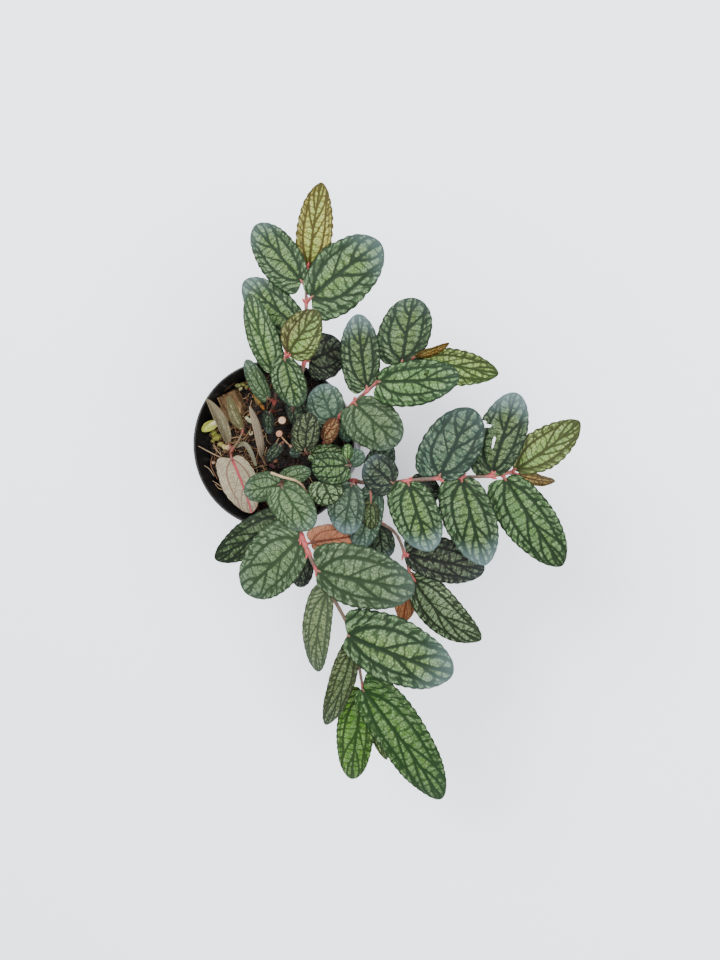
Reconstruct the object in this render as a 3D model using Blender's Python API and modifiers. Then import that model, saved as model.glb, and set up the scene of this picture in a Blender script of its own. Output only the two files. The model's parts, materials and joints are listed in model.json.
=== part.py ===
"""Trailing watermelon begonia in a small round nursery pot.

The plant grows from the soil as six leafy stems that arch over the rim, with shorter shoots,
withered remains and two cut stubs at the crown. Frame: the origin is the middle of the pot's
base where it stands, +Z is up, and the plant leans out over the rim towards +X.
"""

import math
import random
from collections import namedtuple

import bmesh
import bpy
from mathutils import Vector, noise

MM = 0.001
WELD = 0.0001
AXIS_WELD = 0.01
HOLE_SIDES = 8

# Pot, in mm
POT_HEIGHT = 85.0
RIM_RADIUS = 45.0
RIM_WALL = 1.4
COLLAR_HEIGHT = 8.0
COLLAR_RADIUS = 44.6
NECK_RADIUS = 43.0
NECK_HEIGHT = 76.0
BASE_RADIUS = 32.0
BASE_CHAMFER = 0.8
WALL = 1.2
FLOOR = 1.4
CHANNEL_INNER = 20.0
CHANNEL_OUTER = 26.5
CHANNEL_RISE = 2.0
CHANNEL_SLOPE = 0.6
DRAIN_HOLES = 6
DRAIN_HOLE_RADIUS = 2.5
DRAIN_SLOT_WIDTH = 5.0
DRAIN_SLOT_HEIGHT = 7.0
DRAIN_SLOT_DEPTH = 8.0
CUTTER_EXCESS = 1.0
POT_STEPS = 28

# Soil, in mm
CLEARANCE = 0.3
SOIL_TOP = 72.0
SOIL_MOUND = 1.5
SOIL_GRAIN = 9.0
SOIL_ROUGHNESS = 1.4
SOIL_RINGS = 4
SOIL_STEPS = 24
SOIL_LUMPS = 10
LUMP_SIZE = (2.5, 5.0)
LUMP_FLATNESS = 0.6
LUMP_SUNK = 0.1
LUMP_SECTOR = (100.0, 260.0)
LUMP_REACH = (0.15, 0.72)
BARK_CHIP = (-27.0, 21.0)
BARK_CHIP_SIZE = (15.0, 11.0, 5.0)
BARK_CHIP_TURN = 35.0

# Stems, in mm
ROOT_DEPTH = 10.0
STEM_START = SOIL_TOP + 2.0
STEM_STEP = 8.0
STEM_THINNING = 0.4
STALK_RADIUS = 0.8
STALK_IN_BLADE = 1.2

# Leaf blades, in mm, or as a share of the leaf's length or width
BLADE_THICKNESS = 0.7
BLADE_FOOT_WIDTH = 1.0
BLADE_TIP_WIDTH = 1.6
BLADE_ARCH = 0.06
OBLIQUE = 0.18
SMALL_LEAF = 14.0
SMALL_LEAF_SPARED_ROWS = 1
RANDOM_SEED = 7

# Where the blade is widest, how full its outline is towards its foot and its tip, how far the ear
# at its foot reaches back, its teeth, and how far its halves rise or drop
Form = namedtuple("Form", "widest foot fullness ear tooth rows cup")
FORMS = {
    "oval": Form(widest=0.47, foot=0.40, fullness=0.50, ear=0.75, tooth=0.03, rows=6, cup=-0.08),
    "round": Form(widest=0.48, foot=0.40, fullness=0.46, ear=0.55, tooth=0.03, rows=6, cup=-0.06),
    "long": Form(widest=0.44, foot=0.42, fullness=0.56, ear=0.60, tooth=0.03, rows=6, cup=-0.08),
    "eared": Form(widest=0.44, foot=0.42, fullness=0.52, ear=1.35, tooth=0.03, rows=6, cup=-0.08),
    "young": Form(widest=0.42, foot=0.76, fullness=0.58, ear=0.20, tooth=0.07, rows=10, cup=0.10),
    "folded": Form(widest=0.42, foot=0.60, fullness=0.62, ear=0.20, tooth=0.04, rows=6, cup=0.75),
}
NARROW_EAR = 0.45

# at: mm along the stem from the soil. heading: degrees in plan from +X. rise: degrees up to the
# tip. long, wide, lift above the stem and reach of the stalk: mm. roll: degrees about the midrib.
# bend: mm that the midrib's middle stands to its left. A leaf's broader half is the one towards
# the stem's foot, unless swapped.
Leaf = namedtuple("Leaf", "at heading rise long wide form lift reach roll bend swapped",
                  defaults=("oval", 0, 1.5, 0, 0, False))
Shoot = namedtuple("Shoot", "foot route radius leaves")

SHOOTS = {
    "spray_1": Shoot(
        foot=(11, 13),
        route=[(13, 16, 88), (16, 24, 97), (21, 35, 101), (24, 50, 103), (24, 66, 103), (23.5, 90, 101)],
        radius=1.3,
        leaves=[
            Leaf(94, 80.5, 3, 43, 19, "young", lift=-5, reach=0),
            Leaf(84.5, 131, -9, 41, 22, lift=2, reach=3),
            Leaf(76, 37.5, -5, 43, 32, lift=2, reach=4),
            Leaf(60, 140, -5, 43, 22, lift=-1, reach=2.5),
            Leaf(47, 25, -14, 19, 23, "round", lift=-4),
            Leaf(29, -72, -17, 20, 17, "round", lift=-5),
        ],
    ),
    "spray_2": Shoot(
        foot=(-3, 17),
        route=[(3, 22, 90), (10, 32, 104), (15, 41, 112), (18, 45, 113)],
        radius=1.1,
        leaves=[
            Leaf(52, 50, 9, 26, 21, "young", lift=1),
            Leaf(36, 107, 3, 40, 16, "long", lift=5, reach=5, swapped=True),
            Leaf(52, -78, -15, 24, 17, "round", lift=4),
            Leaf(19, 117, 14, 22, 10, lift=9),
            Leaf(7, -97, -16, 12, 7, lift=6),
        ],
    ),
    "spray_3": Shoot(
        foot=(23, -6),
        route=[(30, 0, 90), (35, 7, 95), (40, 14, 99), (51, 23, 104), (67, 36, 105), (77, 42, 101)],
        radius=1.3,
        leaves=[
            Leaf(86, -10, -4, 41, 18, "young"),
            Leaf(85, 19, 13, 18, 6, "young", lift=3.5, reach=3, roll=25),
            Leaf(65, 3, 1, 39, 22, lift=3.5, bend=-1),
            Leaf(80, 81, -7, 32, 26, "round"),
            Leaf(59, 98, 0, 36, 20, lift=1),
            Leaf(50, -43, -6, 29, 25, "round", lift=4),
            Leaf(34, 112, 8, 19, 20, "round", lift=2.5),
            Leaf(39, -80, -22, 13, 8, lift=-3),
            Leaf(21, 51, 22, 14, 9, lift=8.5),
        ],
    ),
    "spray_4": Shoot(
        foot=(30, -15),
        route=[(39, -18, 89), (45, -18, 95), (61, -19, 101), (91, -16, 101), (115, -15, 95),
               (126, -13, 89)],
        radius=1.4,
        leaves=[
            Leaf(111, 38, -1, 39, 20, "young", bend=-1),
            Leaf(108, -11, -15, 20, 10, "young", lift=-6, reach=5, roll=50),
            Leaf(105, -57, -15, 55, 26, "long", reach=3),
            Leaf(99, 74, -3, 41, 24),
            Leaf(84, -75, -13, 46, 26, "long", lift=1),
            Leaf(73, 64, 0, 36, 28, lift=2),
            Leaf(58, -73, -11, 36, 24, lift=2),
            Leaf(57, -35, -20, 17, 19, lift=-5),
            Leaf(51, 138, 8, 17, 19, "round", lift=5, reach=0),
            Leaf(41, 78, -13, 21, 15, lift=-4),
            Leaf(43, -110, -12, 33, 17, lift=-4, reach=5),
            Leaf(39, -92, -10, 14, 10, lift=-1, reach=10),
            Leaf(29, -101, -13, 27, 20, "round", lift=6),
        ],
    ),
    "spray_5": Shoot(
        foot=(26, -23),
        route=[(36, -26, 89), (47, -33, 93), (57, -38, 93), (66, -43, 92), (71, -51, 91),
               (76, -72, 83)],
        radius=1.2,
        leaves=[
            Leaf(68, -12, -13, 41, 23),
            Leaf(82, -45, -16, 51, 22, "long", lift=-1, bend=-3.5),
            Leaf(78, -99, -19, 31, 14, lift=-4, roll=180),
            Leaf(45, -83, -18, 20, 16, "round", lift=-2),
        ],
    ),
    "spray_6": Shoot(
        foot=(4, -19),
        route=[(10, -26, 90), (17, -37, 99), (26, -56, 104), (36, -75, 101), (46, -99, 93),
               (49, -127, 82), (51, -134, 79)],
        radius=1.4,
        leaves=[
            Leaf(140, -58, -14, 79, 28, "eared", lift=3, reach=-1, bend=3),
            Leaf(137, -100, -17, 61, 21, lift=-5, reach=5.5),
            Leaf(144, -79, -14, 43, 10, "young", lift=-6, roll=15),
            Leaf(109, -109.5, -10, 50, 15, "eared", lift=-2, reach=3, roll=-30),
            Leaf(104, -19, -6, 57, 34, lift=4, reach=-1.5),
            Leaf(74.5, -100, -15, 47.5, 15.5, "eared", lift=-2, reach=3.5, bend=-2),
            Leaf(64, -9, -2, 49, 31, lift=3),
            Leaf(54, -115, -24, 22, 13, lift=-5, reach=3),
            Leaf(50, 8, -18, 24, 15, lift=-7, roll=180),
            Leaf(46, -137, -8, 44, 31, lift=1),
            Leaf(34, -152, -4, 50, 20, "long"),
        ],
    ),
    "crown_shoot_1": Shoot(
        foot=(20, -3),
        route=[(22, -5, 88), (23, -4, 99)],
        radius=1.0,
        leaves=[
            Leaf(26, 80, 9, 19, 15, "round", lift=4),
            Leaf(20, 4, -7, 17, 10, lift=2),
            Leaf(13, 171, 9, 6, 7, "round", lift=5, reach=4),
        ],
    ),
    "crown_shoot_2": Shoot(
        foot=(-1, -18),
        route=[(5, -19, 92), (12, -20, 103)],
        radius=1.0,
        leaves=[
            Leaf(31, -54, -1.5, 26, 21, lift=5),
            Leaf(31, -168, -6, 20, 15, "round", lift=2),
            Leaf(24, 20, 3, 16, 10, lift=2, reach=3),
        ],
    ),
    "crown_shoot_3": Shoot(
        foot=(34, -9),
        route=[(42, -11, 88), (46, -10, 99)],
        radius=1.0,
        leaves=[
            Leaf(28, -176, -6, 19, 17, "round", lift=8, reach=0),
            Leaf(23, 42, -12, 9, 10, "round", lift=4),
            Leaf(25, 89, 7, 8, 6, "round", lift=5, reach=3),
        ],
    ),
    "crown_shoot_4": Shoot(
        foot=(3, -6),
        route=[(5, -4, 86), (9, 2, 93)],
        radius=0.9,
        leaves=[
            Leaf(21, -132, -13, 12, 7, lift=3),
        ],
    ),
    "crown_shoot_5": Shoot(
        foot=(24, -15),
        route=[(29, -17, 88), (33, -17, 95)],
        radius=0.9,
        leaves=[
            Leaf(22, -64, -2, 12, 18, "round", lift=10.5, reach=1.5),
        ],
    ),
    "old_shoot": Shoot(
        foot=(-26, -6),
        route=[(-25, -5, 80), (-23, -3, 84), (-18, 2, 87), (-14.5, 8, 89)],
        radius=1.0,
        leaves=[
            Leaf(8, -70, -3, 32, 21, "long", lift=2, reach=3, roll=180),
            Leaf(12, 113, 13, 26, 7, "folded", lift=2, reach=3.5, roll=50),
            Leaf(26, 110, 14, 19, 5.5, "folded", reach=0.5),
        ],
    ),
    "withered_leaf": Shoot(
        foot=(-7, -11),
        route=[(-6, -9, 80), (-5, -7, 84)],
        radius=0.8,
        leaves=[
            Leaf(10, 94, 27, 29, 5.5, "long", lift=3, roll=60),
        ],
    ),
    "pale_bud": Shoot(
        foot=(-28, 14),
        route=[(-29, 14, 78), (-31, 13, 81)],
        radius=1.0,
        leaves=[
            Leaf(8, -152, 4, 10, 5, "folded"),
        ],
    ),
    "dry_twig": Shoot(
        foot=(19, -26),
        route=[(20, -24, 90), (21, -21, 99), (19, -18, 105), (13, -16, 108), (7, -14, 108)],
        radius=0.7,
        leaves=[],
    ),
    "cut_stub_1": Shoot(foot=(6, 13), route=[(6, 13, 80), (6, 13, 86)], radius=2.4, leaves=[]),
    "cut_stub_2": Shoot(foot=(3, 4), route=[(3, 5, 79), (4, 6, 84)], radius=1.9, leaves=[]),
}

# Base colour, roughness and metallic of each material
MATERIALS = {
    "black_plastic": ((0.012, 0.012, 0.013), 0.45, 0.0),
    "peat_soil": ((0.035, 0.022, 0.014), 0.95, 0.0),
    "green_leaf": ((0.055, 0.115, 0.055), 0.5, 0.0),
    "withered_leaf": ((0.30, 0.24, 0.18), 0.7, 0.0),
    "cut_stem": ((0.62, 0.42, 0.30), 0.6, 0.0),
    "bud_green": ((0.45, 0.50, 0.22), 0.5, 0.0),
}
SHOOT_MATERIALS = {
    "old_shoot": "withered_leaf",
    "withered_leaf": "withered_leaf",
    "dry_twig": "cut_stem",
    "cut_stub_1": "cut_stem",
    "cut_stub_2": "cut_stem",
    "pale_bud": "bud_green",
}


def clear_scene():
    for item in list(bpy.data.objects):
        bpy.data.objects.remove(item, do_unlink=True)


def new_collection(name):
    collection = bpy.data.collections.new(name)
    bpy.context.scene.collection.children.link(collection)
    return collection


def new_material(name):
    colour, roughness, metallic = MATERIALS[name]
    material = bpy.data.materials.new(name)
    material.use_nodes = True
    shader = material.node_tree.nodes["Principled BSDF"]
    shader.inputs["Base Color"].default_value = (*colour, 1.0)
    shader.inputs["Roughness"].default_value = roughness
    shader.inputs["Metallic"].default_value = metallic
    material.diffuse_color = (*colour, 1.0)
    return material


def add_mesh_object(name, mesh, collection):
    item = bpy.data.objects.new(name, mesh)
    collection.objects.link(item)
    return item


def bake(item):
    """Replaces an object's mesh or curve by its evaluated mesh, welded, and drops its modifiers."""
    bpy.context.view_layer.update()
    depsgraph = bpy.context.evaluated_depsgraph_get()
    mesh = bpy.data.meshes.new_from_object(item.evaluated_get(depsgraph))
    mesh.name = item.name
    work = bmesh.new()
    work.from_mesh(mesh)
    bmesh.ops.remove_doubles(work, verts=work.verts, dist=WELD * MM)
    work.to_mesh(mesh)
    work.free()
    baked = bpy.data.objects.new(item.name, mesh)
    baked.matrix_world = item.matrix_world
    for collection in list(item.users_collection):
        collection.objects.link(baked)
    name = item.name
    bpy.data.objects.remove(item, do_unlink=True)
    baked.name = name
    return baked


def add_boolean(item, operation, operand):
    modifier = item.modifiers.new(operation.title(), "BOOLEAN")
    modifier.operation = operation
    modifier.operand_type = "COLLECTION"
    modifier.collection = operand
    modifier.solver = "EXACT"


def empty_collection(collection):
    for item in list(collection.objects):
        bpy.data.objects.remove(item, do_unlink=True)
    bpy.data.collections.remove(collection)


def hide_cutters(collection):
    for cutter in collection.objects:
        cutter.hide_render = True
        cutter.display_type = "WIRE"


def turned(name, profile, steps, collection):
    """Turns a profile of (radius, height) points in mm, both ends on the axis, about Z."""
    mesh = bpy.data.meshes.new(name)
    points = [(radius * MM, 0.0, height * MM) for radius, height in profile]
    mesh.from_pydata(points, [(i, i + 1) for i in range(len(points) - 1)], [])
    item = add_mesh_object(name, mesh, collection)
    screw = item.modifiers.new("Screw", "SCREW")
    screw.steps = steps
    screw.render_steps = steps
    screw.use_merge_vertices = True
    screw.merge_threshold = AXIS_WELD * MM
    return bake(item)


def add_hole_cutter(name, radius, bottom, top, place, collection):
    work = bmesh.new()
    bmesh.ops.create_cone(work, cap_ends=True, segments=HOLE_SIDES, radius1=radius * MM,
                          radius2=radius * MM, depth=(top - bottom) * MM)
    mesh = bpy.data.meshes.new(name)
    work.to_mesh(mesh)
    work.free()
    item = add_mesh_object(name, mesh, collection)
    item.location = (place[0] * MM, place[1] * MM, (bottom + top) / 2 * MM)


def inner_wall_radius(height):
    """Radius of the pot's inner wall, below its collar, at a height in mm."""
    slope = (NECK_RADIUS - BASE_RADIUS) / NECK_HEIGHT
    return BASE_RADIUS + slope * height - WALL


def build_pot(collection):
    channel_top = CHANNEL_RISE + FLOOR
    profile = [
        (0.0, FLOOR),
        (CHANNEL_INNER - CHANNEL_SLOPE, FLOOR),
        (CHANNEL_INNER, channel_top),
        (CHANNEL_OUTER, channel_top),
        (CHANNEL_OUTER + CHANNEL_SLOPE, FLOOR),
        (inner_wall_radius(FLOOR), FLOOR),
        (inner_wall_radius(NECK_HEIGHT), NECK_HEIGHT),
        (COLLAR_RADIUS - RIM_WALL, POT_HEIGHT - COLLAR_HEIGHT),
        (RIM_RADIUS - RIM_WALL, POT_HEIGHT),
        (RIM_RADIUS, POT_HEIGHT),
        (COLLAR_RADIUS, POT_HEIGHT - COLLAR_HEIGHT),
        (NECK_RADIUS, NECK_HEIGHT),
        (BASE_RADIUS, BASE_CHAMFER),
        (BASE_RADIUS - BASE_CHAMFER, 0.0),
        (CHANNEL_OUTER, 0.0),
        (CHANNEL_OUTER - CHANNEL_SLOPE, CHANNEL_RISE),
        (CHANNEL_INNER + CHANNEL_SLOPE, CHANNEL_RISE),
        (CHANNEL_INNER, 0.0),
        (0.0, 0.0),
    ]
    pot = turned("pot", profile, POT_STEPS, collection)
    cutters = new_collection("pot cutters")
    channel_middle = (CHANNEL_INNER + CHANNEL_OUTER) / 2
    for i in range(DRAIN_HOLES):
        angle = math.tau * i / DRAIN_HOLES
        place = (channel_middle * math.cos(angle), channel_middle * math.sin(angle))
        add_hole_cutter("drain hole", DRAIN_HOLE_RADIUS, CHANNEL_RISE - CUTTER_EXCESS,
                        channel_top + CUTTER_EXCESS, place, cutters)
        bpy.ops.mesh.primitive_cube_add(size=MM)
        slot = bpy.context.object
        slot.name = "drain slot"
        slot.scale = (DRAIN_SLOT_DEPTH, DRAIN_SLOT_WIDTH, 2 * DRAIN_SLOT_HEIGHT)
        turn = angle + math.pi / DRAIN_HOLES
        slot.rotation_euler.z = turn
        slot.location = (BASE_RADIUS * MM * math.cos(turn), BASE_RADIUS * MM * math.sin(turn), 0.0)
        for owner in list(slot.users_collection):
            owner.objects.unlink(slot)
        cutters.objects.link(slot)
    hide_cutters(cutters)
    add_boolean(pot, "DIFFERENCE", cutters)
    pot = bake(pot)
    empty_collection(cutters)
    return pot


def soil_height(x, y):
    """Height in mm of the soil's uneven top."""
    middle = 1 - (math.hypot(x, y) / inner_wall_radius(SOIL_TOP)) ** 2
    grain = noise.noise(Vector((x, y, 0)) / SOIL_GRAIN)
    return SOIL_TOP + SOIL_MOUND * middle + SOIL_ROUGHNESS * grain


def add_lump(name, place, size, turn, collection):
    """A faceted lump of bark, half sunk in the soil."""
    work = bmesh.new()
    bmesh.ops.create_icosphere(work, subdivisions=1, radius=MM / 2)
    mesh = bpy.data.meshes.new(name)
    work.to_mesh(mesh)
    work.free()
    lump = add_mesh_object(name, mesh, collection)
    lump.location = (place[0] * MM, place[1] * MM, (soil_height(*place) + size[2] * LUMP_SUNK) * MM)
    lump.scale = size
    lump.rotation_euler.z = turn


def build_soil(collection):
    chance = random.Random(RANDOM_SEED)
    bottom = CHANNEL_RISE + FLOOR + CLEARANCE
    edge = inner_wall_radius(SOIL_TOP) - CLEARANCE
    foot = inner_wall_radius(bottom) - CLEARANCE
    top = [(edge * i / SOIL_RINGS, SOIL_TOP) for i in range(SOIL_RINGS + 1)]
    soil = turned("soil", top + [(foot, bottom), (0.0, bottom)], SOIL_STEPS, collection)
    for vertex in soil.data.vertices:
        if vertex.co.z > SOIL_TOP / 2 * MM:
            vertex.co.z = soil_height(vertex.co.x / MM, vertex.co.y / MM) * MM
    feet = [Vector(shoot.foot) for shoot in SHOOTS.values()]
    lumps = new_collection("soil lumps")
    add_lump("bark chip", BARK_CHIP, BARK_CHIP_SIZE, math.radians(BARK_CHIP_TURN), lumps)
    for _ in range(SOIL_LUMPS):
        angle = math.radians(chance.uniform(*LUMP_SECTOR))
        radius = edge * math.sqrt(chance.uniform(*LUMP_REACH))
        place = Vector((radius * math.cos(angle), radius * math.sin(angle)))
        size = chance.uniform(*LUMP_SIZE)
        shape = (size, size * chance.uniform(LUMP_FLATNESS, 1.0), size * LUMP_FLATNESS)
        if min((place - foot).length for foot in feet) > size:
            add_lump("lump", place, shape, chance.uniform(0, math.pi), lumps)
    add_boolean(soil, "UNION", lumps)
    soil = bake(soil)
    empty_collection(lumps)
    holes = new_collection("stem holes")
    for name, shoot in SHOOTS.items():
        add_hole_cutter(name + " hole", shoot.radius + CLEARANCE,
                        SOIL_TOP - ROOT_DEPTH - CLEARANCE, SOIL_TOP + 2 * LUMP_SIZE[1],
                        shoot.foot, holes)
    hide_cutters(holes)
    add_boolean(soil, "DIFFERENCE", holes)
    soil = bake(soil)
    empty_collection(holes)
    return soil


def smooth_route(points):
    """Points about STEM_STEP apart on a smooth curve through the given points (Catmull-Rom)."""
    ends = [2 * points[0] - points[1], *points, 2 * points[-1] - points[-2]]
    route = []
    for before, start, end, after in zip(ends, ends[1:], ends[2:], ends[3:]):
        count = max(1, round((end - start).length / STEM_STEP))
        for i in range(count):
            t = i / count
            route.append(0.5 * (2 * start + (end - before) * t
                                + (2 * before - 5 * start + 4 * end - after) * t ** 2
                                + (3 * start - before - 3 * end + after) * t ** 3))
    return route + [points[-1]]


def along(route, distance):
    """The point at a distance along a route, and the route's direction there."""
    for start, end in zip(route, route[1:]):
        length = (end - start).length
        if distance <= length:
            return start.lerp(end, distance / length), (end - start).normalized()
        distance -= length
    return route[-1], (route[-1] - route[-2]).normalized()


def add_tube(name, points, radius, collection, thinning=0.0, sides_level=1):
    """A closed tube through points in mm, which thins towards its end."""
    curve = bpy.data.curves.new(name, "CURVE")
    curve.dimensions = "3D"
    curve.bevel_depth = radius * MM
    curve.bevel_resolution = sides_level
    curve.use_fill_caps = True
    spline = curve.splines.new("POLY")
    spline.points.add(len(points) - 1)
    for i, (target, point) in enumerate(zip(spline.points, points)):
        target.co = (*(point * MM), 1.0)
        target.radius = 1.0 - thinning * i / (len(points) - 1)
    item = bpy.data.objects.new(name, curve)
    collection.objects.link(item)
    return bake(item)


def blade_half_width(leaf, u):
    """Half the blade's width in mm at u, which runs from 0 at its foot to 1 at its tip."""
    form = FORMS[leaf.form]
    bend = math.log(0.5) / math.log(form.widest)
    fullness = form.foot if u < form.widest else form.fullness
    swell = math.sin(math.pi * u ** bend) ** fullness if 0 < u < 1 else 0.0
    end = BLADE_FOOT_WIDTH * (1 - u) + BLADE_TIP_WIDTH * u
    return max(leaf.wide * swell, end) / 2


def blade_axes(leaf):
    """The blade's directions: along its midrib, to its left, and up out of its face."""
    heading = math.radians(leaf.heading)
    rise = math.radians(leaf.rise)
    roll = math.radians(leaf.roll)
    forward = Vector((math.cos(heading) * math.cos(rise), math.sin(heading) * math.cos(rise),
                      math.sin(rise)))
    level = Vector((-math.sin(heading), math.cos(heading), 0.0))
    upright = forward.cross(level)
    left = level * math.cos(roll) + upright * math.sin(roll)
    return forward, left, forward.cross(left)


def blade_point(leaf, u, v, broad):
    """Forward, left and up in mm on the blade at u along it and v across it, from -1 to 1."""
    form = FORMS[leaf.form]
    on_broad_half = broad * v > 0
    half = blade_half_width(leaf, u) * (1 + OBLIQUE * (1 - u) * (1 if on_broad_half else -1))
    ear = form.ear if on_broad_half else form.ear * NARROW_EAR
    back = ear * half * abs(v) * (1 - u) ** 2
    arch = BLADE_ARCH * leaf.long * 4 * u * (1 - u)
    return leaf.long * u - back, half * v + leaf.bend * 4 * u * (1 - u), arch + form.cup * half * v * v


def add_blade(name, leaf, base, broad, collection):
    """A waved blade: a grid bent to the leaf's shape, split into triangles and given thickness."""
    form = FORMS[leaf.form]
    small = leaf.wide < SMALL_LEAF
    rows = form.rows - SMALL_LEAF_SPARED_ROWS if small else form.rows
    columns = 2 if small else 4
    forward, left, up = blade_axes(leaf)
    work = bmesh.new()
    bmesh.ops.create_grid(work, x_segments=rows, y_segments=columns, size=1.0)
    for vertex in work.verts:
        row = round((vertex.co.x + 1) / 2 * rows)
        u = (1 - math.cos(math.pi * row / rows)) / 2
        v = vertex.co.y
        ahead, aside, above = blade_point(leaf, u, v, broad)
        at_margin = abs(v) > 1 - WELD
        if at_margin and 0 < row < rows:
            aside *= 1 + form.tooth * (-1) ** row
            above += form.tooth * leaf.wide / 2 * (-1) ** row
        vertex.co = (base + forward * ahead + left * aside + up * above) * MM
    bmesh.ops.triangulate(work, faces=work.faces)
    mesh = bpy.data.meshes.new(name)
    work.to_mesh(mesh)
    work.free()
    blade = add_mesh_object(name, mesh, collection)
    solidify = blade.modifiers.new("Solidify", "SOLIDIFY")
    solidify.thickness = BLADE_THICKNESS * MM
    solidify.offset = 0.0
    return blade


def add_leaf(name, leaf, route, collection):
    """One leaf: its stalk from the stem, and its blade."""
    node, direction = along(route, leaf.at)
    forward, left, _ = blade_axes(leaf)
    level = Vector((forward.x, forward.y, 0.0)).normalized()
    base = node + Vector((0, 0, leaf.lift)) + level * leaf.reach
    end = base + forward * STALK_IN_BLADE
    broad = math.copysign(1, left.dot(direction)) * (1 if leaf.swapped else -1)
    add_tube(name + " stalk", [node, base, end], STALK_RADIUS, collection, sides_level=0)
    add_blade(name + " blade", leaf, base, broad, collection)


def build_shoot(name, shoot, collection):
    """One rooted stem with its leaves, as one body."""
    foot = Vector((*shoot.foot, STEM_START))
    route = smooth_route([foot] + [Vector(point) for point in shoot.route])
    root = Vector((*shoot.foot, SOIL_TOP - ROOT_DEPTH))
    thinning = STEM_THINNING if shoot.leaves else 0.0
    stem = add_tube(name, [root] + route, shoot.radius, collection, thinning)
    if not shoot.leaves:
        return stem
    leaves = new_collection(name + " leaves")
    for i, leaf in enumerate(shoot.leaves):
        add_leaf(f"{name} leaf {i}", leaf, route, leaves)
    add_boolean(stem, "UNION", leaves)
    stem = bake(stem)
    empty_collection(leaves)
    return stem


def main():
    clear_scene()
    collection = new_collection("potted watermelon begonia")
    materials = {name: new_material(name) for name in MATERIALS}
    pot = build_pot(collection)
    pot.data.materials.append(materials["black_plastic"])
    soil = build_soil(collection)
    soil.data.materials.append(materials["peat_soil"])
    for name, shoot in SHOOTS.items():
        item = build_shoot(name, shoot, collection)
        item.data.materials.append(materials[SHOOT_MATERIALS.get(name, "green_leaf")])


main()
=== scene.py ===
"""The looks of a trailing watermelon begonia in its nursery pot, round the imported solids.

Tables are in mm in the frame of the solids, whose origin is the middle of the pot's base, and
become metres when a mesh is made. The stems and leaves repeat the tables of the solids, with a
look for each leaf, and every blade, stem and stalk takes its place from them.
"""

import json
import math
import random
from collections import namedtuple

import bmesh
import bpy
import numpy as np
from mathutils import Matrix, Vector, noise

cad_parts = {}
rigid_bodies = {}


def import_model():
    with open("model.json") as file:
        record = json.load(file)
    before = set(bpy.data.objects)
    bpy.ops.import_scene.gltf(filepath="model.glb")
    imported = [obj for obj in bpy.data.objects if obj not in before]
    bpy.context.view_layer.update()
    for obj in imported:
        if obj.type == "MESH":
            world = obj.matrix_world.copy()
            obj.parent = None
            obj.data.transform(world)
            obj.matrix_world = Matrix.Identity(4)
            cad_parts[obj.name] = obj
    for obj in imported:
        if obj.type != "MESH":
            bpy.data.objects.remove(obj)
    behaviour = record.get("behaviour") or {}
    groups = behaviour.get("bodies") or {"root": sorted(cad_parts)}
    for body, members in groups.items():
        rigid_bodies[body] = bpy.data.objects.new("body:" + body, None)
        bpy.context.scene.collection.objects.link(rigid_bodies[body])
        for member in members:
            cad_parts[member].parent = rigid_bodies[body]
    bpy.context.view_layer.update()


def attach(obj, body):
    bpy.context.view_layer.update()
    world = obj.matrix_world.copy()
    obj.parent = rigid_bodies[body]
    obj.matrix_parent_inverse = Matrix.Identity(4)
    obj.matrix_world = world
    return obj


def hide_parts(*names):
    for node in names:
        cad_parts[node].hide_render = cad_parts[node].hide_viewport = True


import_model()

MM = 0.001
SEED = 11

# Pot and soil, in mm
POT_HEIGHT = 85.0
RIM_RADIUS = 45.0
RIM_WALL = 1.4
COLLAR_HEIGHT = 8.0
COLLAR_RADIUS = 44.6
NECK_RADIUS = 43.0
NECK_HEIGHT = 76.0
BASE_RADIUS = 32.0
BASE_CHAMFER = 0.8
WALL = 1.2
STEP_EASE = 4.0
EDGE_EASE = 0.4
FLOOR = 1.4
CHANNEL_INNER = 20.0
CHANNEL_OUTER = 26.5
CHANNEL_RISE = 2.0
CHANNEL_SLOPE = 0.6
DRAIN_HOLES = 6
DRAIN_HOLE_RADIUS = 2.5
DRAIN_HOLE_DEPTH = 8.0
DRAIN_SLOT_SIZE = (8.0, 5.0, 14.0)
CLEARANCE = 0.3
SOIL_TOP = 72.0
SOIL_MOUND = 1.5
SOIL_GRAIN = 9.0
SOIL_ROUGHNESS = 1.4
CRUMB_GRAIN = 2.6
CRUMB_SINK = 0.4
SOIL_GAP = 0.2

# How finely the pot and the soil are divided, and the angle that still looks smooth
POT_STEPS = 144
RIM_STEPS = 9
AXIS_GAP = 0.001
SHARP_ANGLE = 40
SOIL_RINGS = 84
SOIL_STEPS = 240

# Stems, stalks and stipules, in mm, or as a share of a radius or a length
ROOT_DEPTH = 8.0
STEM_START = 74.0
STEM_STEP = 8.0
FINE_STEP = 1.0
STALK_STEP = 0.8
STEM_SIDES = 14
STEM_THINNING = 0.4
# Darkening of stems, partly duller old stem and partly painted shade: its height, and the share kept at
# the soil
DULL_AND_SHADE_HEIGHT = 24.0
DULL_AND_SHADE_FOOT = 0.3
STEM_WAVE = 0.04
STEM_WAVES = 1.3
STALK_RADIUS = 0.45
STALK_GROWTH = 0.009
STALK_IN_BLADE = 1.92
STALK_ARCH = 0.075
KNOTS_APART = 7.0
KNOT_LENGTH = 2.2
SWELLING = 0.30
SWELLING_LENGTH = 1.7
BETWEEN_KNOTS = 0.92
TIP_TAPER = 0.55
SCALED_LEAF = 19
SCALE_LONG = (2.6, 3.8)
SCALE_WIDE = (1.1, 1.5)
SCALE_TONE = (0.9, 1.25)
SCALE_ASIDE = 0.55
SCALE_LIFT = 0.22
UPWARD = (0.0, 0.0, 1.0)
SLANT = (0.31, 0.87, 0.38)

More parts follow.
